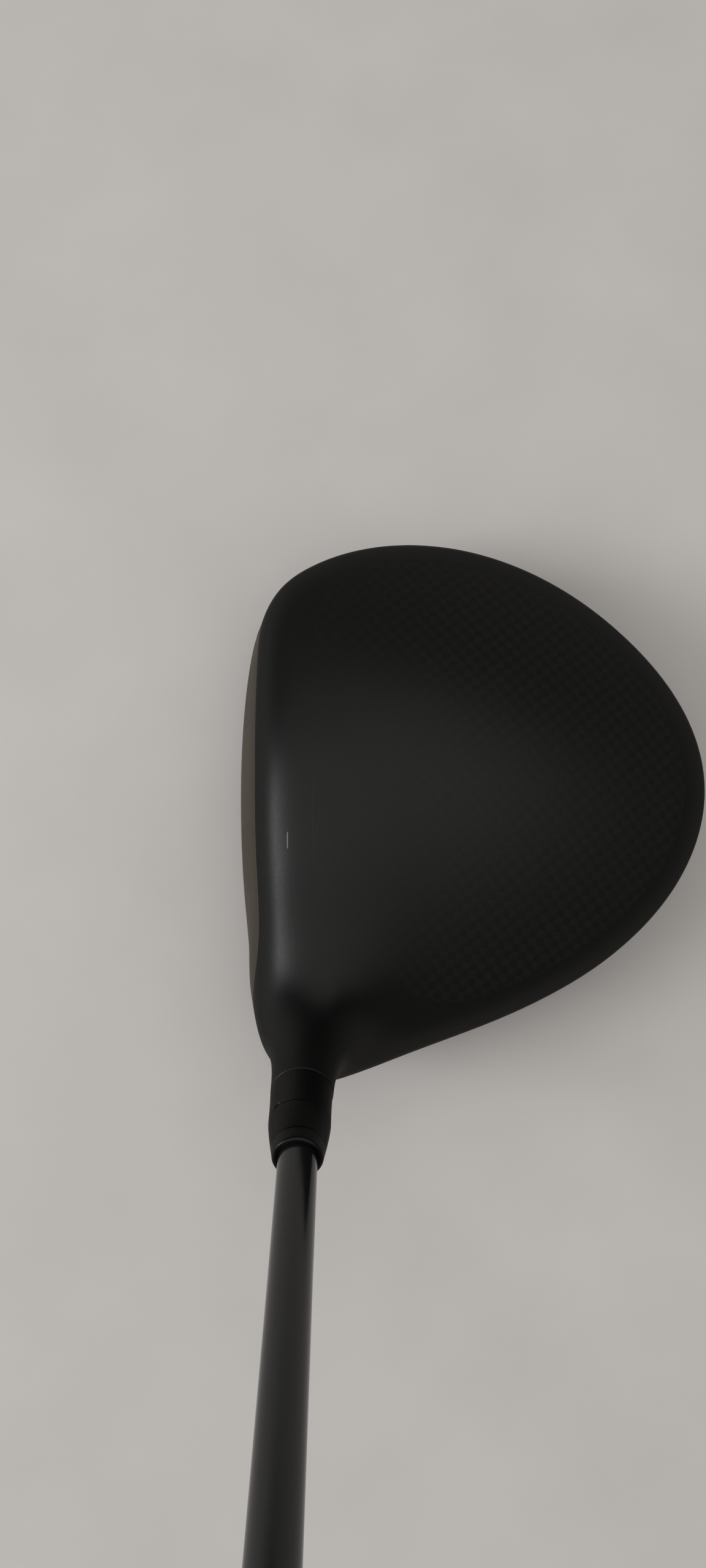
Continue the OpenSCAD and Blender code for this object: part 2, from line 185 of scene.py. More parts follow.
def neck_field(p):
    """Distance from the neck, a rod that starts inside the head."""
    q = p - HOSEL_O
    s = np.maximum(q @ HOSEL_A, NECK_START)
    return np.linalg.norm(q - s[..., None] * HOSEL_A, axis=-1) - NECK_R


def neck_blend(p):
    """The fillet between neck and head: tight on the face's side and generous behind."""
    front, back = NECK_ROUND
    return front + (back - front) * ease((p[..., 0] - NECK_ROUND_FROM) / NECK_ROUND_OVER)


def skin_field(p):
    """The head with its neck."""
    crown, side, sole, face = distances(p)
    rim = smooth_max(side, smooth_max(crown, sole, EQUATOR_ROUND), RIM_ROUND)
    upper = ease((crown - sole) / EQUATOR_BAND + 0.5)
    head = smooth_max(rim, face, LEAD_ROUND + (BROW_ROUND - LEAD_ROUND) * upper)
    whole = smooth_min(head, neck_field(p), neck_blend(p))
    return smooth_max(whole, -p[..., 2], PAD_ROUND)


# Outlines of the pieces on the skin: negative inside the piece

FACE_MARGIN, FACE_DROP, FACE_LIFT, FACE_CORNER = 2.0, 3.6, 1.5, 14.0
CROWN_FRONT, CROWN_IN, CROWN_CORNER = -19.0, 8.0, 16.0
NECK_AT, NECK_CLEAR = np.array([-21.0, -70.0]), 26.0
SOLE_FRONT, SOLE_IN, SOLE_CORNER, WEIGHT_CLEAR = 22.0, 17.0, 14.0, 18.0
# Some lines count on one side of the head only: above or below a height, or in front of an x.
# Elsewhere such a line has a value far from every level
MID_HEIGHT, FACE_SIDE, ELSEWHERE = 28.0, -20.0, 99.0


def face_line(p):
    crown, side, sole, _ = distances(p)
    height = smooth_max(crown + FACE_DROP, sole + FACE_LIFT, FACE_CORNER / 3)
    return smooth_max(height, side, FACE_CORNER) + FACE_MARGIN


def crown_line(p):
    side = distances(p)[1]
    inner = smooth_max(side + CROWN_IN, CROWN_FRONT - p[..., 0], CROWN_CORNER)
    neck = NECK_CLEAR - np.linalg.norm(p[..., :2] - NECK_AT, axis=-1)
    line = smooth_max(inner, neck, 2 * CROWN_CORNER)
    return np.where(p[..., 2] > MID_HEIGHT, line, ELSEWHERE)


def sole_line(p):
    side = distances(p)[1]
    inner = smooth_max(side + SOLE_IN, SOLE_FRONT - p[..., 0], SOLE_CORNER)
    away = np.linalg.norm(p[..., :2] - REAR.origin[:2], axis=-1)
    line = smooth_max(inner, WEIGHT_CLEAR - away, SOLE_CORNER)
    return np.where(p[..., 2] < MID_HEIGHT, line, ELSEWHERE)


def even_angles(count=96):
    """Angles spread evenly over one turn."""
    return np.arange(count) / count * math.tau


class Axis:
    """A turned piece's frame: heights run along the axis from the origin."""

    def __init__(self, origin, direction):
        self.origin = np.array(origin, float)
        turn = Vector((0, 0, 1)).rotation_difference(Vector(direction)).to_matrix()
        self.turn = np.array(turn)

    def place(self, radius, height, angle):
        x, y = radius * np.cos(angle), radius * np.sin(angle)
        return np.stack(np.broadcast_arrays(x, y, height), -1) @ self.turn.T + self.origin

    def radius_of(self, p):
        q = (p - self.origin) @ self.turn
        return np.hypot(q[..., 0], q[..., 1])

    def angle_of(self, p):
        q = (p - self.origin) @ self.turn
        return np.arctan2(q[..., 1], q[..., 0])


def weight_axis(joint):
    """The axis of a weight's joint, turned to run into the head."""
    return Axis(np.array(joint["pos_m"]) / MM, -np.array(joint["axis"]))


HOSEL = Axis(HOSEL_O, HOSEL_A)
REAR = weight_axis(JOINTS["rear_weight_turn"])
FRONT = weight_axis(JOINTS["front_weight_turn"])

# ---- skins: triangles on a field's surface, cut along lines ----

# The grid's pitch, and how far a point may move to lie on a line
STEP, SNAP = 1.1, 0.1


def slope(field, p, h=0.02):
    """The field's gradient at each point."""
    return np.stack([(field(p + d) - field(p - d)) / (2 * h) for d in np.eye(3) * h], -1)


def length(v):
    return np.linalg.norm(v, axis=-1, keepdims=True)


def unit(v):
    return v / length(v)


def limited(move, most):
    """The moves, none of them longer than the most."""
    return move * np.minimum(1, most / np.maximum(length(move), 1e-9))


def onto(field, p, rounds=3):
    """Points moved to where the field is zero."""
    for _ in range(rounds):
        g = slope(field, p)
        move = field(p)[:, None] * g / (g * g).sum(-1, keepdims=True)
        p = p - limited(move, STEP)
    return p


def surface_net(field, low, high):
    """Points and quads of the surface where the field is zero, one point a crossed cell."""
    axes = [np.arange(a, b, STEP) for a, b in zip(low, high)]
    inside = field(np.stack(np.meshgrid(*axes, indexing="ij"), -1)) < 0
    cells = np.lib.stride_tricks.sliding_window_view(inside, (2, 2, 2)).sum((3, 4, 5))
    mixed = (cells > 0) & (cells < 8)
    number = np.full(mixed.shape, -1)
    number[mixed] = np.arange(mixed.sum())
    points = (np.argwhere(mixed) + 0.5) * STEP + low
    quads = []
    for a in range(3):
        b, c = (a + 1) % 3, (a + 2) % 3
        first = np.moveaxis(inside, a, 0)[:-1]
        second = np.moveaxis(inside, a, 0)[1:]
        i = np.argwhere(first != second)
        leaving = first[tuple(i.T)]
        order = [a] + [k for k in range(3) if k != a]
        at = np.empty_like(i)
        at[:, order] = i
        edge = (at[:, b] > 0) & (at[:, c] > 0)
        edge &= (at[:, b] < mixed.shape[b]) & (at[:, c] < mixed.shape[c])
        at, leaving = at[edge], leaving[edge]
        corners = []
        for db, dc in ((1, 1), (0, 1), (0, 0), (1, 0)):
            cell = at.copy()
            cell[:, b] -= db
            cell[:, c] -= dc
            corners.append(number[tuple(cell.T)])
        quad = np.stack(corners, 1)
        quads.append(np.where(leaving[:, None], quad, quad[:, ::-1]))
    return points, np.concatenate(quads)


def relaxed(field, points, quads, rounds=6):
    """The points spread evenly over the surface."""
    ends = np.concatenate([quads[:, [k, (k + 1) % 4]] for k in range(4)])
    ends = np.concatenate([ends, ends[:, ::-1]])
    count = np.bincount(ends[:, 0], minlength=len(points))[:, None]
    for _ in range(rounds):
        total = [np.bincount(ends[:, 0], points[ends[:, 1], k], len(points)) for k in range(3)]
        points = onto(field, points * 0.4 + np.stack(total, 1) / count * 0.6, 1)
    return onto(field, points)


class Skin:
    """Triangles on the head's surface that can be cut along a line and taken apart."""

    def __init__(self, field, low, high):
        self.field = field
        points, quads = surface_net(field, low, high)
        self.points = relaxed(field, points, quads)
        self.tris = np.concatenate([quads[:, [0, 1, 2]], quads[:, [0, 2, 3]]])
        self.fixed = np.zeros(len(points), bool)

    def to_line(self, p, line, level):
        """Points moved along the surface to the line's level."""
        for _ in range(3):
            n = unit(slope(self.field, p))
            g = slope(line, p)
            g -= (g * n).sum(-1, keepdims=True) * n
            size = np.maximum((g * g).sum(-1, keepdims=True), 1e-6)
            move = (line(p) - level)[:, None] * g / size
            p = onto(self.field, p - limited(move, 0.5 * STEP), 1)
        return p

    def cut(self, line, level=0.0):
        """Splits the triangles that the line crosses, with new points on it."""
        value = line(self.points) - level
        near = np.flatnonzero((np.abs(value) < 2 * SNAP) & ~self.fixed)
        moved = self.to_line(self.points[near], line, level)
        close = np.linalg.norm(moved - self.points[near], axis=-1) < SNAP
        self.points[near[close]] = moved[close]
        self.fixed[near[close]] = True
        value[near[close]] = 0
        value[np.abs(value) < 1e-3] = 0
        sides = np.sort(self.tris[:, [[0, 1], [1, 2], [2, 0]]], axis=-1).reshape(-1, 2)
        ends, which = np.unique(sides, axis=0, return_inverse=True)
        a, b = value[ends[:, 0]], value[ends[:, 1]]
        crossed = (a * b < 0) & (np.abs(a - b) < ELSEWHERE / 2)
        share = (a / np.where(crossed, a - b, 1))[crossed][:, None]
        p, q = self.points[ends[crossed, 0]], self.points[ends[crossed, 1]]
        number = np.full(len(ends), -1)
        number[crossed] = len(self.points) + np.arange(crossed.sum())
        new = self.to_line(p + share * (q - p), line, level)
        self.points = np.concatenate([self.points, new])
        self.fixed = np.concatenate([self.fixed, np.ones(len(new), bool)])
        middle = number[which.reshape(-1)].reshape(-1, 3)
        made = [self.tris[(middle < 0).all(1)]]
        for r in range(3):
            t, m = np.roll(self.tris, -r, 1), np.roll(middle, -r, 1)
            one = (m[:, 0] >= 0) & (m[:, 1] < 0) & (m[:, 2] < 0)
            two = (m[:, 0] >= 0) & (m[:, 1] < 0) & (m[:, 2] >= 0)
            # Columns 0 to 2 are the corners, and 3 to 5 the new points on the sides after them
            both = np.concatenate([t, m], 1)
            made += [both[one][:, k] for k in ([0, 3, 2], [3, 1, 2])]
            made += [both[two][:, k] for k in ([0, 3, 5], [3, 1, 2], [3, 2, 5])]
        self.tris = np.concatenate(made)

    def middles(self):
        return self.points[self.tris].mean(1)


def rim_edges(tris):
    """The open edges of a patch, each with the patch on its left."""
    sides = tris[:, [[0, 1], [1, 2], [2, 0]]].reshape(-1, 2)
    size = sides.max() + 1
    back = np.isin(sides[:, 1] * size + sides[:, 0], sides[:, 0] * size + sides[:, 1])
    return sides[~back]


def loops_of(edges):
    """Open edges joined into closed runs of points."""
    following = dict(edges.tolist())
    loops = []
    while following:
        start, at = following.popitem()
        loop = [start]
        while at != start:
            loop.append(at)
            at = following.pop(at)
        loops.append(np.array(loop))
    return loops


def new_object(name, data):
    made = bpy.data.objects.new(name, data)
    bpy.context.scene.collection.objects.link(made)
    return made


def new_mesh(name, points, faces, sharp):
    """A smooth mesh from points in millimetres. Edges above an angle in degrees stay sharp."""
    mesh = bpy.data.meshes.new(name)
    mesh.from_pydata((points * MM).tolist(), [], faces)
    mesh.polygons.foreach_set("use_smooth", np.ones(len(faces), bool))
    mesh.set_sharp_from_angle(angle=math.radians(sharp))
    return mesh


# The finishes of a shell's triangles, by their places in its list of paints
OUTSIDE, INSIDE, INKED = 0, 1, 2
SHELL_SHARP, TURNED_SHARP = 32, 38


class Build:
    """A mesh gathered from patches, rings and strips. Each triangle says its finish."""

    def __init__(self):
        self.points = np.zeros((0, 3))
        self.tris, self.normals, self.finish = [], [], []

    def add_points(self, points):
        start = len(self.points)
        self.points = np.concatenate([self.points, points])
        return np.arange(start, start + len(points))

    def add(self, tris, finish=OUTSIDE, normals=None):
        """Triangles, with a normal for each corner, or none where the mesh's own will do."""
        self.tris.append(tris)
        self.normals.append(np.zeros((len(tris), 3, 3)) if normals is None else normals)
        self.finish.append(np.full(len(tris), finish))

    def join(self, ring, other, axis, facing, finish=OUTSIDE):
        """A strip between two closed runs of points round an axis, turned to face a direction."""
        runs = []
        for loop in (ring, other):
            angle = axis.angle_of(self.points[loop])
            order = np.argsort(angle)
            runs.append((loop[order], angle[order]))
        (a, ta), (b, tb) = runs
        i = j = 0
        tris = []
        while i < len(a) or j < len(b):
            next_a = ta[i] if i < len(a) else math.inf
            next_b = tb[j] if j < len(b) else math.inf
            if next_a <= next_b:
                tris.append((a[i - 1], a[i], b[j - 1]))
                i += 1
            else:
                tris.append((a[i - 1], b[j], b[j - 1]))
                j += 1
        self.add(self.facing(np.array(tris), facing), finish)

    def close(self, ring, facing, finish=OUTSIDE):
        """A disc that closes a run of points."""
        centre = self.add_points(self.points[ring].mean(0)[None])[0]
        after = np.roll(ring, -1)
        tris = np.stack([ring, after, np.full(len(ring), centre)], 1)
        self.add(self.facing(tris, facing), finish)

    def facing(self, tris, direction):
        """The triangles turned over if they face away from the direction at each point."""
        p = self.points[tris]
        n = np.cross(p[:, 1] - p[:, 0], p[:, 2] - p[:, 0])
        return tris if (n * direction(p.mean(1))).sum() > 0 else tris[:, ::-1]

    def object(self, name, paints):
        tris = np.concatenate(self.tris)
        used, which = np.unique(tris, return_inverse=True)
        mesh = new_mesh(name, self.points[used], which.reshape(-1, 3).tolist(), SHELL_SHARP)
        finish = np.concatenate(self.finish).astype(np.int32)
        mesh.polygons.foreach_set("material_index", finish)
        normals = np.concatenate(self.normals).reshape(-1, 3)
        mesh.normals_split_custom_set(normals.tolist())
        for paint in paints:
            mesh.materials.append(paint)
        mesh.validate()
        return new_object(name, mesh)


def seat(piece, body, slot, *nodes):
    """The piece rides on its body and stands for its CAD nodes, which it hides. slot is not used."""
    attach(piece, body)
    if nodes:
        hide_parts(*nodes)
    return piece


# ---- materials ----


def add_node(tree, kind, *inputs, **settings):
    """A node with its first inputs set: a socket is linked, None is left, the rest are values."""
    node = tree.nodes.new("ShaderNode" + kind)
    for name, value in settings.items():
        setattr(node, name, value)
    for socket, value in zip(node.inputs, inputs):
        if isinstance(value, bpy.types.NodeSocket):
            tree.links.new(value, socket)
        elif value is not None:
            socket.default_value = value
    return node


class Paint:
    """A material made of nodes round one Principled shader."""

    def __init__(self, name, roughness, metallic=0.0, specular=0.5, coat=0.0, coat_rough=0.2):
        self.material = bpy.data.materials.new(name)
        self.material.use_nodes = True
        self.tree = self.material.node_tree
        self.shader = self.tree.nodes["Principled BSDF"]
        values = {
            "Roughness": roughness,
            "Metallic": metallic,
            "Specular IOR Level": specular,
            "Coat Weight": coat,
            "Coat Roughness": coat_rough,
        }
        for socket, value in values.items():
            self.shader.inputs[socket].default_value = value
        self.place = self.node("TexCoord").outputs["Object"]

    def node(self, kind, *inputs, **settings):
        return add_node(self.tree, kind, *inputs, **settings)

    def math(self, operation, *inputs):
        return self.node("Math", *inputs, operation=operation).outputs[0]

    def stretched(self, scale):
        """The place in the model, in millimetres, times a scale for each direction."""
        per_mm = [k / MM for k in scale]
        return self.node("Mapping", self.place, None, None, per_mm).outputs[0]

    def noise(self, scale, detail=3.0, spread=(1, 1, 1), rough=0.5):
        """Noise from 0 to 1 with this many lumps a millimetre."""
        where = self.stretched(spread)
        return self.node("TexNoise", where, None, scale, detail, rough).outputs[0]

    def between(self, value, low, high, from_low=0.0, from_high=1.0):
        return self.node("MapRange", value, from_low, from_high, low, high).outputs[0]

    def blend(self, share, a, b):
        return self.node("MixRGB", share, colour(a), colour(b)).outputs[0]

    def set(self, socket, value):
        self.tree.links.new(value, self.shader.inputs[socket])

    def bump(self, height, depth_mm):
        """Relief whose full height is depth_mm."""
        made = self.node("Bump", 1.0, depth_mm * MM)
        self.tree.links.new(height, made.inputs["Height"])
        self.set("Normal", made.outputs[0])

    def set_roughness(self, value, glancing):
        """A roughness that grows by this much where the surface is seen edge on."""
        facing = self.node("LayerWeight", 0.5).outputs["Facing"]
        more = self.between(facing, 0, glancing, 0.15, 0.65)
        self.set("Roughness", self.math("ADD", value, more))

    def edge_wear_and_glint(self, base, bare, amount):
        """The base colour, giving way to a paler one along eased edges and in patches: wear, and on
        the ferrule's rim also a painted highlight.
        """
        edge = self.node("Attribute", attribute_name="edge").outputs["Fac"]
        patch = self.between(self.noise(0.7, 4), 0.2, 1.0, 0.35, 0.7)
        share = self.math("MULTIPLY", self.math("MULTIPLY", edge, patch), amount)
        return self.blend(share, base, bare)


def colour(value):
    """A colour with its alpha, or a socket as it is."""
    return (*value, 1.0) if isinstance(value, tuple) and len(value) == 3 else value


def head_paint():
    """Satin black paint with a fine orange peel."""
    p = Paint("head_paint", 0.4, specular=0.26)
    shade = p.between(p.noise(0.05, 4), 0.35, 0.65)
    p.set("Base Color", p.blend(shade, (0.0014, 0.0014, 0.0014), (0.0022, 0.0021, 0.0020)))
    p.set_roughness(p.between(p.noise(0.9, 5), 0.36, 0.44), 0.4)
    p.bump(p.noise(2.6, 3), 0.012)
    return p.material


def weave(p, tow, twill, turn):
    """A woven cloth: which thread is on top, 0 or 1, and the height of the threads."""
    laid = p.node("Mapping", p.place, None, (0, 0, turn), (1 / (tow * MM),) * 3).outputs[0]
    axes = p.node("SeparateXYZ", laid).outputs
    shift = p.between(p.noise(0.12, 2), -0.12, 0.12)
    u, v = p.math("ADD", axes[0], shift), p.math("SUBTRACT", axes[1], shift)
    step = p.math("SUBTRACT" if twill else "ADD", p.math("FLOOR", u), p.math("FLOOR", v))
    count = 4 if twill else 2
    over = p.math("LESS_THAN", p.math("FLOORED_MODULO", step, count), count / 2 - 0.01)
    crowns = []
    for axis in (u, v):
        across = p.math("MULTIPLY_ADD", p.math("FRACT", axis), 2.0, -1.0)
        crowns.append(p.math("SUBTRACT", 1.0, p.math("MULTIPLY", across, across)))
    height = p.node("Mix", over, None, crowns[0], crowns[1]).outputs[0]
    return over, height


def crown_paint():
    """Matte black lacquer over a carbon weave that shows faintly, and less towards the front."""
    p = Paint("crown_paint", 0.42, specular=0.26)
    over, height = weave(p, 2.0, twill=False, turn=0.12)
    woven = p.blend(over, (0.0020, 0.0019, 0.0018), (0.0048, 0.0046, 0.0043))
    back = p.node("SeparateXYZ", p.place).outputs[0]
    cover = p.between(back, 0.85, 0.0, -0.012, 0.03)
    shade = p.math("MAXIMUM", cover, p.between(p.noise(0.05, 4), 0.0, 0.4))
    p.set("Base Color", p.blend(shade, woven, (0.0020, 0.0019, 0.0018)))
    rough = p.math("MULTIPLY_ADD", over, 0.03, 0.39)
    p.set_roughness(p.math("ADD", rough, p.between(p.noise(0.9, 5), -0.02, 0.02)), 0.4)
    p.bump(p.math("MULTIPLY_ADD", height, 0.6, p.noise(2.6, 3)), 0.011)
    return p.material


def sole_paint():
    """Satin clear coat over a two-by-two twill of carbon."""
    p = Paint("sole_paint", 0.34, specular=0.5, coat=0.5, coat_rough=0.22)
    over, height = weave(p, 1.8, twill=True, turn=0.785)
    woven = p.blend(over, (0.010, 0.010, 0.011), (0.030, 0.030, 0.032))
    p.set("Base Color", p.blend(p.math("MULTIPLY", height, 0.35), (0.006, 0.006, 0.006), woven))
    p.set("Roughness", p.math("MULTIPLY_ADD", over, 0.12, 0.28))
    p.bump(height, 0.02)
    return p.material


def face_metal():
    """Titanium with a thin brown-grey coating, brushed from heel to toe."""
    p = Paint("face_metal", 0.36, metallic=1.0)
    p.shader.inputs["Specular Tint"].default_value = (0.46, 0.44, 0.41, 1)
    streak = p.noise(1.0, 6, (9.0, 0.25, 9.0), 0.7)
    tone = p.between(streak, 0, 1, 0.3, 0.7)
    p.set("Base Color", p.blend(tone, (0.125, 0.111, 0.098), (0.178, 0.160, 0.144)))
    p.set("Roughness", p.between(streak, 0.3, 0.46, 0.3, 0.7))
    p.bump(streak, 0.014)
    return p.material


def groove_ink():
    """Dull dark fill in the face's lines."""
    p = Paint("groove_ink", 0.6)
    p.set("Base Color", p.blend(p.noise(2.0), (0.016, 0.016, 0.015), (0.03, 0.029, 0.028)))
    p.bump(p.noise(5.0), 0.01)
    return p.material


def raw_casting():
    """The head's inside: blasted, unpainted titanium."""
    p = Paint("raw_casting", 0.55, metallic=1.0)
    p.set("Base Color", p.blend(p.noise(0.2, 5), (0.16, 0.155, 0.15), (0.24, 0.23, 0.22)))
    p.bump(p.noise(3.0, 4), 0.03)
    return p.material


def mark_paint():
    """Thin pale paint of the aiming mark."""
    p = Paint("mark_paint", 0.5)
    p.set("Base Color", p.blend(p.noise(3.0), (0.075, 0.074, 0.072), (0.13, 0.128, 0.125)))
    p.bump(p.noise(6.0), 0.005)
    return p.material


def turned_metal(name, dark, light, roughness):
    """Metal with a fine grain, brighter along its edges."""
    p = Paint(name, roughness, metallic=1.0)
    grain = p.noise(2.4, 5, rough=0.65)
    bare = tuple(min(1, 1.9 * c) for c in light)
    p.set("Base Color", p.edge_wear_and_glint(p.blend(grain, dark, light), bare, 0.6))
    p.set("Roughness", p.between(grain, roughness - 0.07, roughness + 0.09))
    p.bump(p.noise(5.0, 3), 0.008)
    return p.material


def anodised():
    """Black anodised aluminium, a little bare along its edges."""
    p = Paint("anodised", 0.28, specular=0.18)
    base = p.blend(p.noise(0.3, 4), (0.0010, 0.0010, 0.0010), (0.0018, 0.0017, 0.0016))
    p.set("Base Color", p.edge_wear_and_glint(base, (0.012, 0.011, 0.011), 0.5))
    p.set_roughness(p.between(p.noise(1.2, 5), 0.24, 0.33), 0.4)
    p.bump(p.noise(6.0, 3), 0.006)
    return p.material


def ferrule_plastic():
    """Smooth black plastic, a little paler on its rim: partly wear, partly a painted highlight for
    the rim's glint.
    """
    p = Paint("ferrule_plastic", 0.28, specular=0.2)
    base = p.blend(p.noise(0.4), (0.0020, 0.0019, 0.0019), (0.0032, 0.0031, 0.0030))
    # The paler rim colour is partly wear and partly a painted highlight of the glint on the ferrule's
    # rim.
    p.set("Base Color", p.edge_wear_and_glint(base, (0.02, 0.019, 0.018), 0.6))
    p.set_roughness(p.between(p.noise(1.6, 6), 0.22, 0.34, 0.3, 0.75), 0.35)
    p.bump(p.noise(3.0, 3), 0.004)
    return p.material


def shaft_paint():
    """Satin dark grey paint over long fibres."""
    p = Paint("shaft_paint", 0.15, specular=0.5)
    fibre = p.noise(1.0, 5, (6.0, 0.35, 0.35), 0.7)
    p.set("Base Color", p.blend(fibre, (0.0045, 0.0052, 0.0057), (0.0075, 0.0083, 0.009)))
    p.set("Roughness", p.between(p.noise(1.5, 6), 0.11, 0.18, 0.3, 0.7))
    p.bump(p.noise(3.0, 4), 0.002)
    return p.material


def rubber(name, dark, light, roughness=0.72):
    """Matte rubber with a fine tooth, paler along its edges."""
    p = Paint(name, roughness, specular=0.35)
    base = p.blend(p.between(p.noise(0.06, 5), 0, 1, 0.3, 0.7), dark, light)
    p.set("Base Color", p.edge_wear_and_glint(base, tuple(2.2 * c for c in light), 0.35))
    p.set("Roughness", p.between(p.noise(2.5, 4), roughness - 0.08, roughness + 0.08))
    p.bump(p.noise(7.0, 4), 0.02)
    return p.material


def paper_tape():
    """Pale crepe paper under the grip."""
    p = Paint("paper_tape", 0.85, specular=0.3)
    crepe = p.noise(1.5, 6, (1, 0.2, 0.2))
    p.set("Base Color", p.blend(crepe, (0.66, 0.62, 0.53), (0.78, 0.74, 0.65)))
    p.bump(p.noise(4.0, 5), 0.03)
    return p.material


# ---- the head's shells ----

# A seam between two pieces: the gap's width, and the width and depth of the eased edge
FACE_SEAM = (0.06, 0.25, 0.10)
CROWN_SEAM = (0.006, 0.12, 0.012)
SOLE_SEAM = (0.16, 0.32, 0.16)
SEAMS = ((face_line, FACE_SEAM), (crown_line, CROWN_SEAM), (sole_line, SOLE_SEAM))

# The weights' ports with their radii, and the hosel's bore. A port's heights run into the
# head, and the bore's run up along the hosel's axis
PORTS = ((FRONT, FRONT_R + 0.1), (REAR, REAR_R + 0.1))
PORT_EASE, PORT_END, BOSS_T, BOSS_END = 0.3, 13.0, 1.5, 14.0
BORE_EASE, BORE_FOOT, BORE_FIT, HOSEL_BOSS_R = 0.15, 13.0, 0.01, 8.8
TOP_EASE = 0.14

# The score lines: half their width at the skin and at the floor, their depth and heights, and
# their ends, which the longest one's reach and its fall with height set
SCORE_EDGE, SCORE_FLOOR, SCORE_DEPTH = 0.30, 0.15, 0.08
SCORE_HEIGHTS = [4.0 * k - 14.0 for k in range(7)]
SCORE_FROM, SCORE_REACH, SCORE_FALL, SCORE_LONGEST = 13.0, 31.0, 0.035, 2.0

SKIN_LOW = np.array([-62.0, -94.0, -4.0])
SKIN_HIGH = np.array([94.0, 74.0, 74.0])


def score_line(p):
    """Distance from the nearest score line on the face."""
    q = p - FACE_CENTRE
    up = q @ FACE_UP
    beside = np.abs(q[..., 1])
    nearest = np.full(up.shape, ELSEWHERE)
    for height in SCORE_HEIGHTS:
        reach = SCORE_REACH - SCORE_FALL * (height - SCORE_LONGEST) ** 2
        past = np.maximum(np.maximum(SCORE_FROM - beside, beside - reach), 0)
        nearest = np.minimum(nearest, np.hypot(up - height, past))
    return np.where(p[..., 0] < FACE_SIDE, nearest, ELSEWHERE)


def above_score(height):
    """Height over the middle of one score line."""
    return lambda p: np.where(
        p[..., 0] < FACE_SIDE, (p - FACE_CENTRE) @ FACE_UP - height, ELSEWHERE
    )


def make_skin():
    """The head's skin, cut at the hosel's top and along every line that a piece needs."""
    skin = Skin(skin_field, SKIN_LOW, SKIN_HIGH)
    skin.cut(along_hosel, HOSEL_TOP)
    skin.cut(along_hosel, HOSEL_TOP - TOP_EASE)
    skin.tris = skin.tris[along_hosel(skin.middles()) < HOSEL_TOP]
    for line, (gap, width, _) in SEAMS:
        for level in (-gap / 2 - width, -gap / 2, gap / 2, gap / 2 + width):
            skin.cut(line, level)
    for height in SCORE_HEIGHTS:
        skin.cut(above_score(height))
    skin.cut(score_line, SCORE_EDGE)
    skin.cut(score_line, SCORE_FLOOR)
    for axis, radius in PORTS:
        for level in (radius, radius + PORT_EASE, radius + BOSS_T):
            skin.cut(port_line(axis), level)
    for level in (TUBE_R, TUBE_R + PORT_EASE):
        skin.cut(port_line(HOSEL), level)
    skin.cut(from_hosel, HOSEL_BOSS_R)
    return skin


def port_line(axis):
    """Distance from a port's axis, on the lower side of the head only."""
    return lambda p: np.where(p[..., 2] < MID_HEIGHT, axis.radius_of(p), ELSEWHERE)


def lowered(p):
    """How far the skin is eased down at each point: seams, ports, score lines, hosel top."""
    deep = np.zeros(len(p))
    for line, (gap, width, depth) in SEAMS:
        share = 1 - (np.abs(line(p)) - gap / 2) / width
        deep = np.maximum(deep, depth * np.clip(share, 0, 1))
    for axis, radius in (*PORTS, (HOSEL, TUBE_R)):
        share = 1 - (port_line(axis)(p) - radius) / PORT_EASE
        deep = np.maximum(deep, PORT_EASE * np.clip(share, 0, 1))
    share = (SCORE_EDGE - score_line(p)) / (SCORE_EDGE - SCORE_FLOOR)
    deep = np.maximum(deep, SCORE_DEPTH * np.clip(share, 0, 1))
    share = 1 - (HOSEL_TOP - along_hosel(p)) / TOP_EASE
    return np.maximum(deep, TOP_EASE * np.clip(share, 0, 1))


class Shells:
    """The skin's points with their normals and eased places, for the pieces made from it."""

    def __init__(self):
        skin = make_skin()
        self.tris, self.points, self.middles = skin.tris, skin.points, skin.middles()
        self.normals = unit(slope(skin_field, self.points))
        deep = lowered(self.points)
        self.outer = self.points - self.normals * deep[:, None]
        self.plain = deep[self.tris].max(1) < 1e-6

    def shell(self, chosen, thickness, inner=None):
        """A shell: the chosen triangles, their copies moved in, and walls between. inner
        chooses fewer triangles for the inside, and what that leaves open comes back as two
        lists of loops, outside and inside."""
        build = Build()
        outside = build.add_points(self.outer)
        inside = build.add_points(self.points - self.normals * thickness)
        tris = self.tris[chosen]
        corner = self.normals[tris] * self.plain[chosen][:, None, None]
        build.add(outside[tris], OUTSIDE, corner)
        under = self.tris[chosen if inner is None else chosen & inner][:, ::-1]
        build.add(inside[under], INSIDE, -self.normals[under])
        size = len(self.points)
        top, bottom = rim_edges(tris), rim_edges(under[:, ::-1])
        top_key, bottom_key = top @ [size, 1], bottom @ [size, 1]
        shared = top[np.isin(top_key, bottom_key)]
        a, b = shared.T
        build.add(np.stack([outside[b], outside[a], inside[a]], 1), INSIDE)
        build.add(np.stack([outside[b], inside[a], inside[b]], 1), INSIDE)
        above = loops_of(top[~np.isin(top_key, bottom_key)])
        below = loops_of(bottom[~np.isin(bottom_key, top_key)])
        return build, [outside[k] for k in above], [inside[k] for k in below]


def along(axis, sign):
    """The axis's direction at every point, or the opposite one when sign is -1."""
    return lambda p: sign * axis.turn[:, 2]


def inward(axis, sign=1):
    """The direction from each point to an axis, or away from it when sign is -1."""

    def towards(p):
        q = (p - axis.origin) @ axis.turn
        q[:, 2] = 0
        return -sign * q @ axis.turn.T

    return towards


def sink(build, loop, axis, rings):
    """A hole from a loop of points: rings of (radius, height), then a floor."""
    last = loop
    for radius, height in rings:
        p = build.points[last]
        level = ((p - axis.origin) @ axis.turn[:, 2]).mean()
        upright = abs(axis.radius_of(p).mean() - radius) < 0.5 * abs(height - level)
        ring = build.add_points(axis.place(radius, height, even_angles()))
        build.join(last, ring, axis, inward(axis) if upright else along(axis, -1))
        last = ring
    build.close(last, along(axis, -1))


# How far a loop's mean radius may be from the one that is looked for
LOOP_SLACK = 1.2


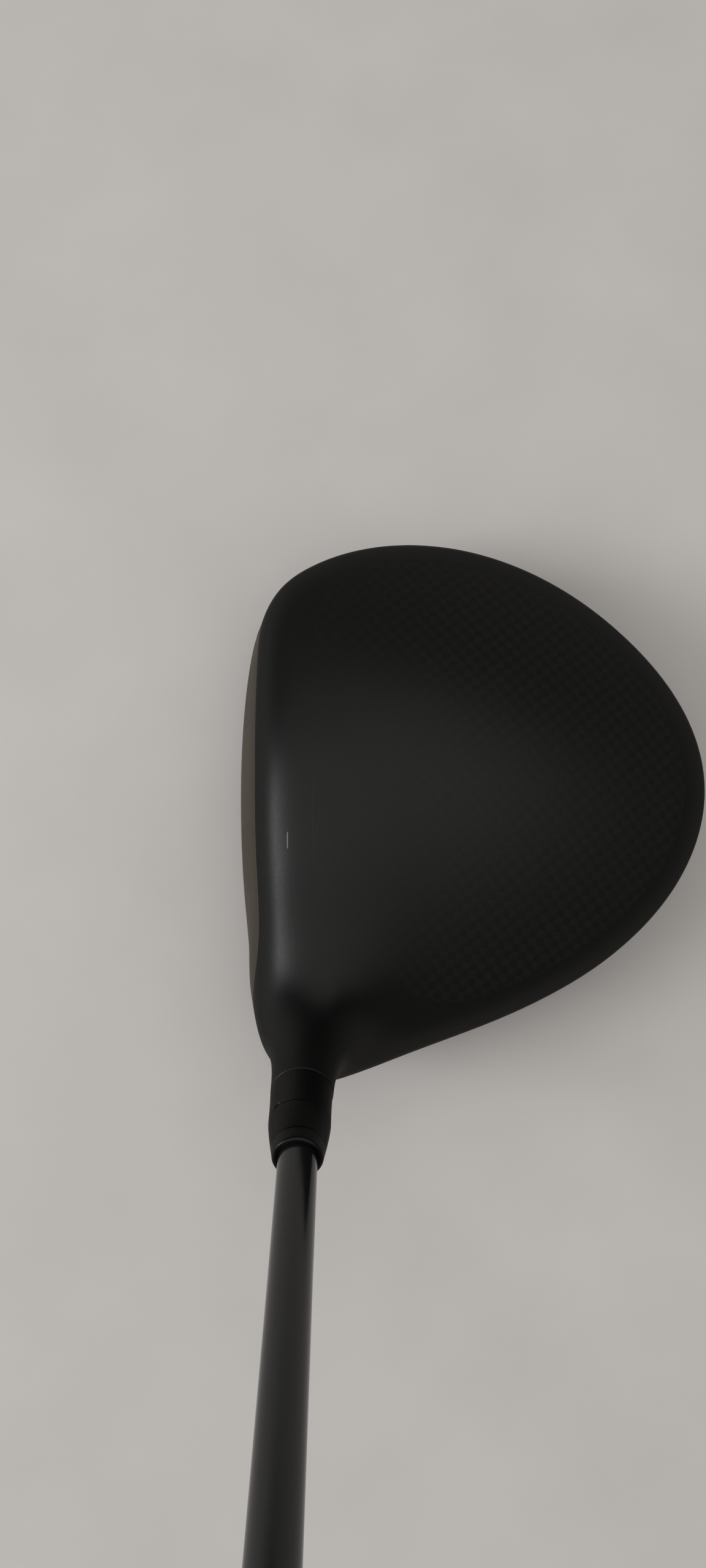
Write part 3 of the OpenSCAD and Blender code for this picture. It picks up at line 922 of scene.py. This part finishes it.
def nearest_loop(build, loops, axis, radius, lower=True):
    """The loop round an axis at this radius, on the lower or the upper side of the head."""
    for loop in loops:
        p = build.points[loop]
        near = np.abs(axis.radius_of(p) - radius).mean() < LOOP_SLACK
        if near and (p[:, 2].mean() < MID_HEIGHT) == lower:
            return loop
    raise ValueError(f"no loop of radius {radius}")


def head_shell(shells, paint, raw):
    """The casting: the skin round the face, crown and sole, its ports, and the hosel's bore."""
    m = shells.middles
    chosen = port_line(HOSEL)(m) > TUBE_R
    for line, (gap, _, _) in SEAMS:
        chosen &= line(m) > gap / 2
    inner = from_hosel(m) > HOSEL_BOSS_R
    for axis, radius in PORTS:
        away = port_line(axis)(m)
        chosen &= away > radius
        inner &= away > radius + BOSS_T
    build, above, below = shells.shell(chosen, WALL_T, inner)
    floor = WEIGHT_SUNK + WEIGHT_T
    for axis, radius in PORTS:
        rings = [(radius, floor - 0.3), (radius - 0.3, floor), (SCREW_R + 0.4, floor)]
        rings += [(SCREW_R, floor + 0.4), (SCREW_R, PORT_END)]
        sink(build, nearest_loop(build, above, axis, radius), axis, rings)
        boss = nearest_loop(build, below, axis, radius + BOSS_T)
        end = build.add_points(axis.place(radius + BOSS_T, BOSS_END, even_angles()))
        build.join(boss, end, axis, inward(axis, -1), INSIDE)
        build.close(end, along(axis, 1), INSIDE)
    top = nearest_loop(build, above, HOSEL, NECK_R, lower=False)
    rings = ((BORE_EASE, HOSEL_TOP), (BORE_FIT, HOSEL_TOP - BORE_EASE), (BORE_FIT, BORE_FOOT))
    lip, bore, foot = (
        build.add_points(HOSEL.place(TUBE_R + out, height, even_angles())) for out, height in rings
    )
    build.join(top, lip, HOSEL, along(HOSEL, 1))
    build.join(lip, bore, HOSEL, inward(HOSEL))
    build.join(bore, foot, HOSEL, inward(HOSEL), INSIDE)
    build.join(foot, nearest_loop(build, above, HOSEL, TUBE_R), HOSEL, inward(HOSEL))
    low = nearest_loop(build, below, HOSEL, HOSEL_BOSS_R)
    high = nearest_loop(build, below, HOSEL, HOSEL_BOSS_R, lower=False)
    build.join(low, high, HOSEL, inward(HOSEL, -1), INSIDE)
    piece = build.object("head_shell", [paint, raw])
    return seat(piece, "head", "painted_metal_black", "body")


def panel(shells, name, line, seam, thickness, paints, slot, node, finish=None):
    """A bonded panel: the part of the skin inside a line. finish chooses its outer paints."""
    chosen = line(shells.middles) < -seam[0] / 2
    build, _, _ = shells.shell(chosen, thickness)
    if finish is not None:
        build.finish[0] = finish(shells.middles[chosen])
    piece = build.object(name, paints)
    return seat(piece, "head", slot, node)


def tick_mark(paint):
    """The aiming mark: a thin painted stroke on the crown behind the face."""
    at, size, thick, rounds = (-25.0, -19.1, 56.0), (0.34, 4.0), 0.03, 12
    u, v = np.meshgrid(np.linspace(-0.5, 0.5, 4), np.linspace(-0.5, 0.5, 14), indexing="ij")
    end = 1 - 0.35 * (np.abs(v) > 0.49)
    x, y = at[0] + u * size[0] * end, at[1] + v * size[1]
    p = np.stack([x, y, np.full(x.shape, at[2])], -1).reshape(-1, 3)
    for _ in range(rounds):
        p[:, 2] -= skin_field(p) / slope(skin_field, p)[:, 2]
    n = unit(slope(skin_field, p))
    build = Build()
    top = build.add_points(p + n * thick).reshape(u.shape)
    low = build.add_points(p - n * thick).reshape(u.shape)
    for grid, sign in ((top, 1), (low, -1)):
        a, b, c, d = grid[:-1, :-1], grid[1:, :-1], grid[1:, 1:], grid[:-1, 1:]
        tris = np.concatenate([np.stack([a, b, c], -1), np.stack([a, c, d], -1)]).reshape(-1, 3)
        build.add(tris[:, ::sign])
    edge, under = (
        np.concatenate([g[:, 0], g[-1, 1:], g[-2::-1, -1], g[0, -2:0:-1]]) for g in (top, low)
    )
    after, under_after = np.roll(edge, -1), np.roll(under, -1)
    build.add(np.stack([after, edge, under], 1))
    build.add(np.stack([after, under, under_after], 1))
    return seat(build.object("tick_mark", [paint]), "head", "painted_metal_black")


# ---- turned pieces ----


def eased(corners, size):
    """The rows of a closed outline with each corner made a small round."""
    corners = [np.array(c, float) for c in corners]
    rows = []
    for i, corner in enumerate(corners):
        ends = []
        for other in (corners[i - 1], corners[(i + 1) % len(corners)]):
            gap = np.linalg.norm(other - corner)
            ends.append(corner + (other - corner) * min(size / gap, 0.45))
        a, b = ends
        middle = (a + 2 * corner + b) / 4
        rows += [(*a, 0), (*middle, 1), (*b, 0)]
    return rows


def turned(name, axis, rows, paint, angles=None, closed=True):
    """A piece swept round an axis. Each row is (radius, height, edge), numbers or arrays by
    angle. A row of radius 0 at either end of an open outline is one point."""
    angles = even_angles() if angles is None else angles
    points, edge, index = [], [], []
    for radius, height, edge_wear_and_glint in rows:
        pole = not closed and np.ndim(radius) == 0 and radius == 0
        at = axis.place(radius, height, angles[:1] if pole else angles)
        index.append(len(edge) + np.arange(len(angles)) * (not pole))
        points.append(at)
        edge += [float(edge_wear_and_glint)] * len(at)
    points = np.concatenate(points)
    faces = []
    pairs = list(zip(index, index[1:]))
    if closed:
        pairs.append((index[-1], index[0]))
    for a, b in pairs:
        after_a, after_b = np.roll(a, -1), np.roll(b, -1)
        if a[0] == a[1]:
            faces += np.stack([a, after_b, b], 1).tolist()
        elif b[0] == b[1]:
            faces += np.stack([a, after_a, b], 1).tolist()
        else:
            faces += np.stack([a, after_a, after_b, b], 1).tolist()
    first = np.array([(f[0], f[1], f[2]) for f in faces])
    rest = np.array([(f[0], f[2], f[3]) for f in faces if len(f) == 4]).reshape(-1, 3)
    p = points[np.concatenate([first, rest])] - points.mean(0)
    if (p[:, 0] * np.cross(p[:, 1], p[:, 2])).sum() < 0:
        faces = [f[::-1] for f in faces]
    mesh = new_mesh(name, points, faces, TURNED_SHARP)
    mesh.attributes.new("edge", "FLOAT", "POINT").data.foreach_set("value", edge)
    mesh.materials.append(paint)
    return new_object(name, mesh)


def wrapped(angle):
    """The same angle, from minus half a turn to half a turn."""
    return (angle + math.pi) % math.tau - math.pi


def toothed(count, wide, start=0.0):
    """Angles on both sides of each tooth's flanks, and a function that says which are on a
    tooth. Widths are in degrees."""
    centres = np.radians(start + np.arange(count) * 360 / count)
    half, lean = math.radians(wide / 2), math.radians(0.4)
    sides = [c + s * half + d for c in centres for s in (-1, 1) for d in (-lean, lean)]
    return np.array(sides), lambda t: np.abs(wrapped(t[:, None] - centres)).min(1) < half


def gathered(*groups):
    """Evenly spaced angles with some others among them, in order and none too close."""
    angles = np.unique(np.concatenate(groups) % math.tau)
    angles = angles[np.diff(angles, prepend=-1) > 0.001]
    grid = even_angles()
    off = np.abs(wrapped(grid[:, None] - angles)).min(1)
    return np.sort(np.concatenate([angles, grid[off > 0.006]]))


# The index mark: a half-round recess in the ring's upper edge, on the target's side
MARK_ANGLE, MARK_R, MARK_DEPTH = math.radians(132), 1.15, 0.2

# The ring's gap to its neighbours, how far in its rims are rounded, and its teeth's play
RIM_GAP, RIM_IN, TOOTH_CLEAR = 0.02, 0.2, 0.06


def adjustment_ring(paint):
    """The ring between neck and sleeve, with four teeth below and twelve above."""
    upper_sides, upper = toothed(12, 13)
    lower_sides, lower = toothed(4, 22)
    mark = MARK_ANGLE + np.linspace(-1.3, 1.3, 27) * MARK_R / NECK_R
    angles = gathered(upper_sides, lower_sides, mark)
    top = np.where(upper(angles), COLLAR_FOOT - TOOTH_CLEAR, COLLAR_FOOT - DOG_H)
    foot = np.where(lower(angles), HOSEL_TOP - DOG_H, HOSEL_TOP + TOOTH_CLEAR)
    beside = wrapped(angles - MARK_ANGLE) * NECK_R

    def wall(height):
        share = np.clip((height - HOSEL_TOP) / (COLLAR_FOOT - HOSEL_TOP), 0, 1)
        waist = 0.07 * math.sin(math.pi * share)
        inside = MARK_R - np.hypot(beside, height - COLLAR_FOOT)
        return NECK_R + (COLLAR_R - NECK_R) * share - waist - MARK_DEPTH * ease(inside / 0.12)

    heights = [
        *np.linspace(HOSEL_TOP + 0.2, COLLAR_FOOT - 1.6, 10),
        *np.linspace(COLLAR_FOOT - 1.3, COLLAR_FOOT - 0.2, 12),
    ]
    low, high = HOSEL_TOP + RIM_GAP, COLLAR_FOOT - RIM_GAP
    rows = [
        (NECK_R - RIM_IN, low, 0),
        (NECK_R - 0.06, HOSEL_TOP + 0.07, 1),
        *((wall(h), h, 0) for h in heights),
        (wall(COLLAR_FOOT) - 0.05, COLLAR_FOOT - 0.07, 1),
        (wall(COLLAR_FOOT) - RIM_IN, high, 0),
        (TUBE_R + 0.25, high, 0),
        (TUBE_R + 0.25, top, 0),
        (BORE_R + 0.1, top, 0),
        (BORE_R, top - 0.1, 1),
        (BORE_R, foot + 0.1, 0),
        (BORE_R + 0.1, foot, 1),
        (TUBE_R - 0.1, foot, 0),
        (TUBE_R - 0.1, low + TOOTH_CLEAR, 0),
    ]
    piece = turned("adjustment_ring_visual", HOSEL, rows, paint, angles)
    return seat(piece, "hosel_ring", "hosel_anodised", "adjustment_ring")


def adapter_sleeve(paint):
    """The sleeve: a barrel that goes down the bore, twelve teeth and the collar that shows."""
    sides, on = toothed(12, 15, start=15)
    angles = gathered(sides)
    teeth = np.where(on(angles), COLLAR_FOOT - DOG_H + 0.1, COLLAR_FOOT - 0.05)
    barrel_r, hole_end = BORE_R - 0.05, 54.0
    rows = [(0, hole_end, 0), (SCREW_R, hole_end - 0.8, 0), (SCREW_R, BARREL_FOOT + 0.5, 0)]
    rows += [(SCREW_R + 0.5, BARREL_FOOT, 1), (barrel_r - 0.6, BARREL_FOOT, 0)]
    rows += [(barrel_r - 0.1, BARREL_FOOT + 0.4, 1), (barrel_r, BARREL_FOOT + 0.8, 0)]
    for groove in (47.0, 60.0, 73.0, 82.0):
        for step, depth in ((-0.5, 0.0), (-0.3, 0.18), (0.3, 0.18), (0.5, 0.0)):
            rows.append((barrel_r - depth, groove + step, depth == 0))
    rows += [(barrel_r, COLLAR_FOOT - DOG_H - 0.1, 0), (barrel_r, teeth, 0)]
    rows += [(TUBE_R + 0.1, teeth, 0), (TUBE_R + 0.2, teeth + 0.04, 1)]
    rows += [(TUBE_R + 0.2, COLLAR_FOOT + 0.01, 0), (COLLAR_R - 0.2, COLLAR_FOOT + 0.02, 0)]
    rows += [(COLLAR_R - 0.06, COLLAR_FOOT + 0.07, 1)]
    for height in np.linspace(COLLAR_FOOT + 0.2, COLLAR_END - 0.15, 22):
        rows.append((collar_radius(height), height, 0))
    rows += [(COLLAR_END_R - 0.02, COLLAR_END - 0.03, 0)]
    rows += [(COLLAR_END_R - 0.12, COLLAR_END, 0), (TIP_R + 0.02, COLLAR_END, 0)]
    rows += [(TIP_R + 0.02, SHAFT_FOOT, 0), (0, SHAFT_FOOT, 0)]
    piece = turned("adapter_sleeve_visual", HOSEL, rows, paint, angles, closed=False)
    return seat(piece, "shaft_assembly", "hosel_anodised", "adapter_sleeve")


def collar_radius(height):
    """The collar narrows to the ferrule in one soft curve."""
    share = (height - COLLAR_FOOT) / (COLLAR_END - COLLAR_FOOT)
    return COLLAR_R - (COLLAR_R - COLLAR_END_R) * share**1.35


def ferrule(paint):
    """A short dark collar that ends in a rounded step round the shaft."""
    start, rim = COLLAR_END_R - 0.02, FERRULE_END_R + 0.24
    rows = [(TIP_R + 0.02, COLLAR_END + 0.02, 0), (start - 0.12, COLLAR_END + 0.02, 0)]
    rows += [(start, COLLAR_END + 0.07, 0)]
    for share in np.linspace(0.1, 1, 7):
        rows.append((start + (rim - start) * share, COLLAR_END + 2.6 * share, 0))
    # The rim's rounded edge row carries the paler edge colour: partly wear, partly a painted
    # highlight.
    rows += [(rim - 0.08, FERRULE_END - 0.28, 0), (rim - 0.24, FERRULE_END - 0.1, 1)]
    rows += [(rim - 0.5, FERRULE_END, 0), (4.5, FERRULE_END, 0)]
    rows += [(TIP_R + 0.02, FERRULE_END - 0.15, 0)]
    piece = turned("ferrule_visual", HOSEL, rows, paint, even_angles(128))
    return seat(piece, "shaft_assembly", "ferrule_plastic", "ferrule")


def shaft_radius(height):
    return np.interp(height, [TIP_PARALLEL, SHAFT_END], [TIP_R, BUTT_R])


def shaft(paint):
    """The tapered tube, open through its middle."""
    heights = [
        SHAFT_FOOT + 0.2,
        *np.linspace(70, TIP_PARALLEL, 4),
        *np.linspace(150, SHAFT_END - 0.2, 60),
    ]
    rows = [(TIP_R - SHAFT_WALL, SHAFT_FOOT, 0), (TIP_R - 0.2, SHAFT_FOOT, 0)]
    rows += [(shaft_radius(h), h, 0) for h in heights]
    rows += [(BUTT_R - 0.2, SHAFT_END, 0), (BUTT_R - SHAFT_WALL, SHAFT_END, 0)]
    rows += [(shaft_radius(h) - SHAFT_WALL, h, 0) for h in heights[-2:0:-6]]
    piece = turned("shaft_visual", HOSEL, rows, paint)
    return seat(piece, "shaft_assembly", "shaft_graphite", "shaft")


# How finely the grip is divided, and its pattern of lozenges, slits and ribs
GRIP_ROUND, GRIP_ROWS = 168, 440
LOZENGES, LOZENGE_PITCH = 14, 4.6
LOZENGE_WIDE, LOZENGE_HIGH, LOZENGE_DEEP = 1.55, 1.75, 0.38
SLIT_AT, SLIT_WIDE, SLIT_DEEP = 1.95, 0.42, 0.16
RIB_PITCH, RIB_DEEP = 2.4, 0.3


def grip_share(height):
    """0 at the grip's mouth and 1 at its butt."""
    return (height - GRIP_FOOT) / (SHAFT_END - GRIP_FOOT)


def grip_radius(height):
    """The grip's smooth outside, from its mouth to its butt."""
    share = grip_share(height)
    return 8.85 + 2.95 * share + 1.05 * ease((share - 0.6) / 0.4) + 1.35 * share**26


def band(x, low, high, soft):
    """1 between low and high, eased to 0 at both."""
    return float(ease((x - low) / soft) * ease((high - x) / soft))


def grip_relief(height, angles):
    """Depth of the moulded pattern: rows of lozenges between plain bands, and ribs at each end."""
    share = grip_share(height)
    row = math.floor(height / LOZENGE_PITCH)
    turns = (angles / math.tau * LOZENGES + 0.5 * (row % 2)) % 1 - 0.5
    across = np.abs(turns * math.tau * grip_radius(height) / LOZENGES)
    up = abs((height / LOZENGE_PITCH - row - 0.5) * LOZENGE_PITCH)
    lozenge = ease((1.0 - across / LOZENGE_WIDE - up / LOZENGE_HIGH) / 0.3)
    slit = ease((SLIT_WIDE - np.abs(across - 0.9 * up / LOZENGE_HIGH - SLIT_AT)) / 0.3)
    slit = slit * (up < LOZENGE_HIGH)
    rib = 0.5 - 0.5 * math.cos(math.tau * height / RIB_PITCH)
    middle = band(share, 0.075, 0.86, 0.01)
    ends = max(band(share, 0.02, 0.062, 0.005), band(share, 0.885, 0.955, 0.005))
    pattern = LOZENGE_DEEP * middle * lozenge + SLIT_DEEP * middle * slit
    return pattern + RIB_DEEP * ends * rib


def grip(paint):
    """The rubber grip with its pattern moulded in."""
    angles = even_angles(GRIP_ROUND)
    rows = [(shaft_radius(GRIP_FOOT) + 0.02, GRIP_FOOT, 0), (8.3, GRIP_FOOT, 0)]
    rows += [(8.62, GRIP_FOOT + 0.2, 1), (8.8, GRIP_FOOT + 0.7, 0)]
    for height in np.linspace(GRIP_FOOT + 1.2, SHAFT_END, GRIP_ROWS):
        rows.append((grip_radius(height) - grip_relief(height, angles), height, 0))
    mouth = shaft_radius(GRIP_FOOT + 5)
    rows += [(BUTT_R + TAPE_T + 0.02, SHAFT_END, 0), (mouth + TAPE_T + 0.02, GRIP_FOOT + 5, 0)]
    rows += [(mouth + 0.02, GRIP_FOOT + 4.9, 0)]
    piece = turned("grip_visual", HOSEL, rows, paint, angles)
    return seat(piece, "shaft_assembly", "grip_rubber", "grip")


def grip_cap(paint):
    """The butt cap: a scalloped rim, a ring groove and the vent."""
    angles = even_angles(192)
    scallop = 0.22 * np.maximum(0, np.cos(24 * angles)) ** 3
    end = CLUB_LEN
    rows = [(1.5, SHAFT_END + 0.02, 0), (14.9, SHAFT_END + 0.02, 0), (15.3, SHAFT_END + 0.25, 1)]
    rows += [(15.55, SHAFT_END + 0.7, 0), (15.8 - scallop, SHAFT_END + 1.3, 0)]
    rows += [(15.85 - scallop, SHAFT_END + 2.2, 0), (15.65 - scallop, SHAFT_END + 3.3, 0)]
    rows += [(15.0, end - 1.75, 0), (14.3, end - 1.2, 1), (13.4, end - 0.75, 0), (12.0, end - 0.4, 0)]
    for radius, sunk in ((10.6, 0.12), (9.7, 0.06), (9.5, 0.1), (9.3, 0.5), (8.7, 0.5), (8.5, 0.1)):
        rows.append((radius, end - sunk, sunk == 0.1))
    rows += [(8.3, end - 0.04, 0), (5.0, end - 0.02, 0), (4.2, end - 0.12, 0), (2.6, end - 0.5, 0)]
    rows += [(1.8, end - 0.6, 0), (1.6, end - 0.7, 1), (1.5, end - 0.95, 0)]
    piece = turned("grip_cap_visual", HOSEL, rows, paint, angles)
    return seat(piece, "shaft_assembly", "grip_cap_rubber", "grip_cap")


# The gap under a screw's head: with none, it touches its seat more at its limit than at rest
SEAT_GAP = 0.02
CREST_R, ROOT_R, SOCKET_R = SCREW_R - 0.05, 2.02, 2.02


def screw(name, axis, paint, body, node, *, foot, head_r, head_h, reach):
    """A screw with a six-lobed socket in its head and a true helical thread. The head starts
    at foot, and the shank under it is as long as reach."""
    angles = even_angles()
    star = SOCKET_R + 0.3 * np.cos(6 * angles) + 0.05 * np.cos(12 * angles)
    knurl = head_r - 0.035 + 0.035 * np.cos(48 * angles)
    top = foot + head_h - SEAT_GAP
    rows = [(0, foot + 2.35, 0), (star * 0.55, foot + 2.15, 0), (star * 0.96, foot + 1.9, 0)]
    rows += [(star, foot + 0.22, 0), (star + 0.05, foot + 0.1, 1), (star + 0.2, foot, 0)]
    rows += [(head_r - 0.6, foot, 0), (head_r - 0.2, foot + 0.12, 1), (head_r - 0.04, foot + 0.4, 0)]
    rows += [(knurl, foot + 0.6, 0), (knurl, top - 0.5, 0), (head_r - 0.04, top - 0.3, 0)]
    rows += [(head_r - 0.15, top - 0.05, 1), (head_r - 0.4, top, 0), (2.25, top, 0)]
    rows += [(ROOT_R, top + 0.2, 0)]
    start, stop = top + 0.6, top + reach - 0.5
    for height in np.arange(start, stop, SCREW_PITCH / 8):
        phase = (height / SCREW_PITCH - angles / math.tau) % 1
        ridge = np.clip(1.35 - 3.0 * np.abs(phase - 0.5), 0, 1)
        fade = ease((height - start) / 0.5) * ease((stop - height) / 0.6)
        rows.append((ROOT_R + (CREST_R - ROOT_R) * ridge * fade, height, 0))
    rows += [(1.9, stop + 0.1, 0), (1.5, top + reach - 0.05, 1), (1.3, top + reach, 0)]
    rows += [(0, top + reach, 0)]
    piece = turned(name, axis, rows, paint, angles, closed=False)
    return seat(piece, body, "screw_steel", node)


def weight(name, axis, radius, paint, body, node):
    """A weight: a turned disc with a ringed face, sunk for its screw's head."""
    low, high = WEIGHT_SUNK, WEIGHT_SUNK + WEIGHT_T
    ring, hole, seat_at = radius * 0.72, HEAD_R + 0.1, WEIGHT_SUNK + HEAD_H
    outline = [(SCREW_R, high), (radius, high), (radius, low), (ring + 0.35, low)]
    outline += [(ring + 0.2, low + 0.3), (ring - 0.2, low + 0.3), (ring - 0.35, low)]
    outline += [(hole, low), (hole, seat_at), (SCREW_R, seat_at)]
    piece = turned(name, axis, eased(outline, 0.14), paint, even_angles(128))
    return seat(piece, body, "weight_steel", node)


# ---- stage ----


def camera():
    """A camera almost straight above the head, a third of a metre up."""
    data = bpy.data.cameras.new("camera")
    data.lens = 27.04
    data.sensor_width = 36
    data.clip_start = 0.01
    made = new_object("camera", data)
    made.location = (-0.009, -0.0425, 0.340)
    made.rotation_euler = (math.radians(7.4), 0, 0)
    bpy.context.scene.camera = made


def floor():
    """A pale floor, faintly uneven in tone."""
    half = 30.0
    mesh = bpy.data.meshes.new("floor")
    corners = [(-half, -half, 0), (half, -half, 0), (half, half, 0), (-half, half, 0)]
    mesh.from_pydata(corners, [], [(0, 1, 2, 3)])
    p = Paint("floor_paint", 0.75, specular=0.2)
    shade = p.between(p.noise(0.02, 5), 0, 1, 0.3, 0.7)
    p.set("Base Color", p.blend(shade, (0.57, 0.551, 0.537), (0.61, 0.59, 0.576)))
    mesh.materials.append(p.material)
    made = new_object("floor", mesh)


def window():
    """One soft lamp above the floor, on the face's side."""
    at = Vector((-1.70, -0.25, 1.03))
    data = bpy.data.lights.new("window", "AREA")
    data.shape = "RECTANGLE"
    data.size = data.size_y = 0.925
    data.energy = 18.75
    made = new_object("window", data)
    made.location = at
    made.rotation_euler = (at - Vector((0, 0, 0.03))).to_track_quat("Z", "Y").to_euler()
    made.visible_camera = False


def world():
    """A room that is bright above and dim at the horizon, and plain and pale where it shows."""
    made = bpy.data.worlds.new("room")
    bpy.context.scene.world = made
    made.use_nodes = True
    tree = made.node_tree
    tree.nodes.clear()
    way = add_node(tree, "TexCoord").outputs["Generated"]
    up = add_node(tree, "SeparateXYZ", way).outputs[2]
    high = add_node(tree, "MapRange", up, 0.40, 0.88, 0.0, 1.0, interpolation_type="SMOOTHSTEP")
    sky = add_node(tree, "MixRGB", high.outputs[0], (0.030, 0.0295, 0.029, 1), (0.98, 0.96, 0.93, 1))
    lit = add_node(tree, "Background", sky.outputs[0], 1.0)
    seen = add_node(tree, "Background", (0.50, 0.485, 0.465, 1), 1.0)
    direct = add_node(tree, "LightPath").outputs["Is Camera Ray"]
    both = add_node(tree, "MixShader", direct, lit.outputs[0], seen.outputs[0])
    out = add_node(tree, "OutputWorld")
    tree.links.new(both.outputs[0], out.inputs[0])


def stage():
    camera()
    floor()
    world()
    window()
    bpy.context.scene.view_settings.view_transform = "Standard"


# ---- the club ----


def main():
    """The whole club on its stage."""
    stage()
    paint, raw, black = head_paint(), raw_casting(), anodised()
    steel = turned_metal("screw_steel", (0.16, 0.16, 0.165), (0.26, 0.26, 0.265), 0.34)
    tungsten = turned_metal("weight_steel", (0.13, 0.13, 0.132), (0.20, 0.20, 0.205), 0.42)
    bare = turned_metal("bare_titanium", (0.30, 0.29, 0.28), (0.40, 0.39, 0.375), 0.32)
    shells = Shells()
    head_shell(shells, paint, raw)
    panel(shells, "face_insert", face_line, FACE_SEAM, FACE_T, [face_metal(), raw, groove_ink()],
          "titanium_face", "face_plate",
          lambda m: np.where(score_line(m) < SCORE_FLOOR, INKED, OUTSIDE))
    panel(shells, "crown_shell", crown_line, CROWN_SEAM, PANEL_T, [crown_paint(), raw],
          "crown_carbon", "crown_panel")
    panel(shells, "sole_shell", sole_line, SOLE_SEAM, PANEL_T, [sole_paint(), raw],
          "sole_carbon", "sole_panel")
    tick_mark(mark_paint())

    adjustment_ring(black)
    adapter_sleeve(black)
    ferrule(ferrule_plastic())
    shaft(shaft_paint())
    grip(rubber("grip_rubber", (0.010, 0.010, 0.010), (0.016, 0.016, 0.016)))
    grip_cap(rubber("cap_rubber", (0.011, 0.011, 0.011), (0.017, 0.017, 0.017), 0.6))
    screw("hosel_screw_visual", HOSEL, steel, "hosel_bolt", "hosel_screw",
          foot=13.8, head_r=4.2, head_h=5.0, reach=31.0)
    for end, axis, radius in (("front", FRONT, FRONT_R), ("rear", REAR, REAR_R)):
        weight(f"{end}_weight_visual", axis, radius, tungsten, f"{end}_puck", f"{end}_weight")
        screw(f"{end}_weight_screw_visual", axis, steel, f"{end}_puck_screw",
              f"{end}_weight_screw", foot=WEIGHT_SUNK, head_r=HEAD_R, head_h=HEAD_H, reach=8.5)

    kept = {
        "hosel_tube": bare,
        "screw_retainer": rubber("retainer_rubber", (0.012, 0.012, 0.012), (0.02, 0.02, 0.02)),
        "screw_washer": steel,
        "tip_plug": turned_metal("plug_brass", (0.42, 0.30, 0.12), (0.55, 0.42, 0.20), 0.35),
        "grip_tape": paper_tape(),
    }
    for node, finish in kept.items():
        mesh = frame["nodes"][node].data
        mesh.materials.clear()
        mesh.materials.append(finish)


main()
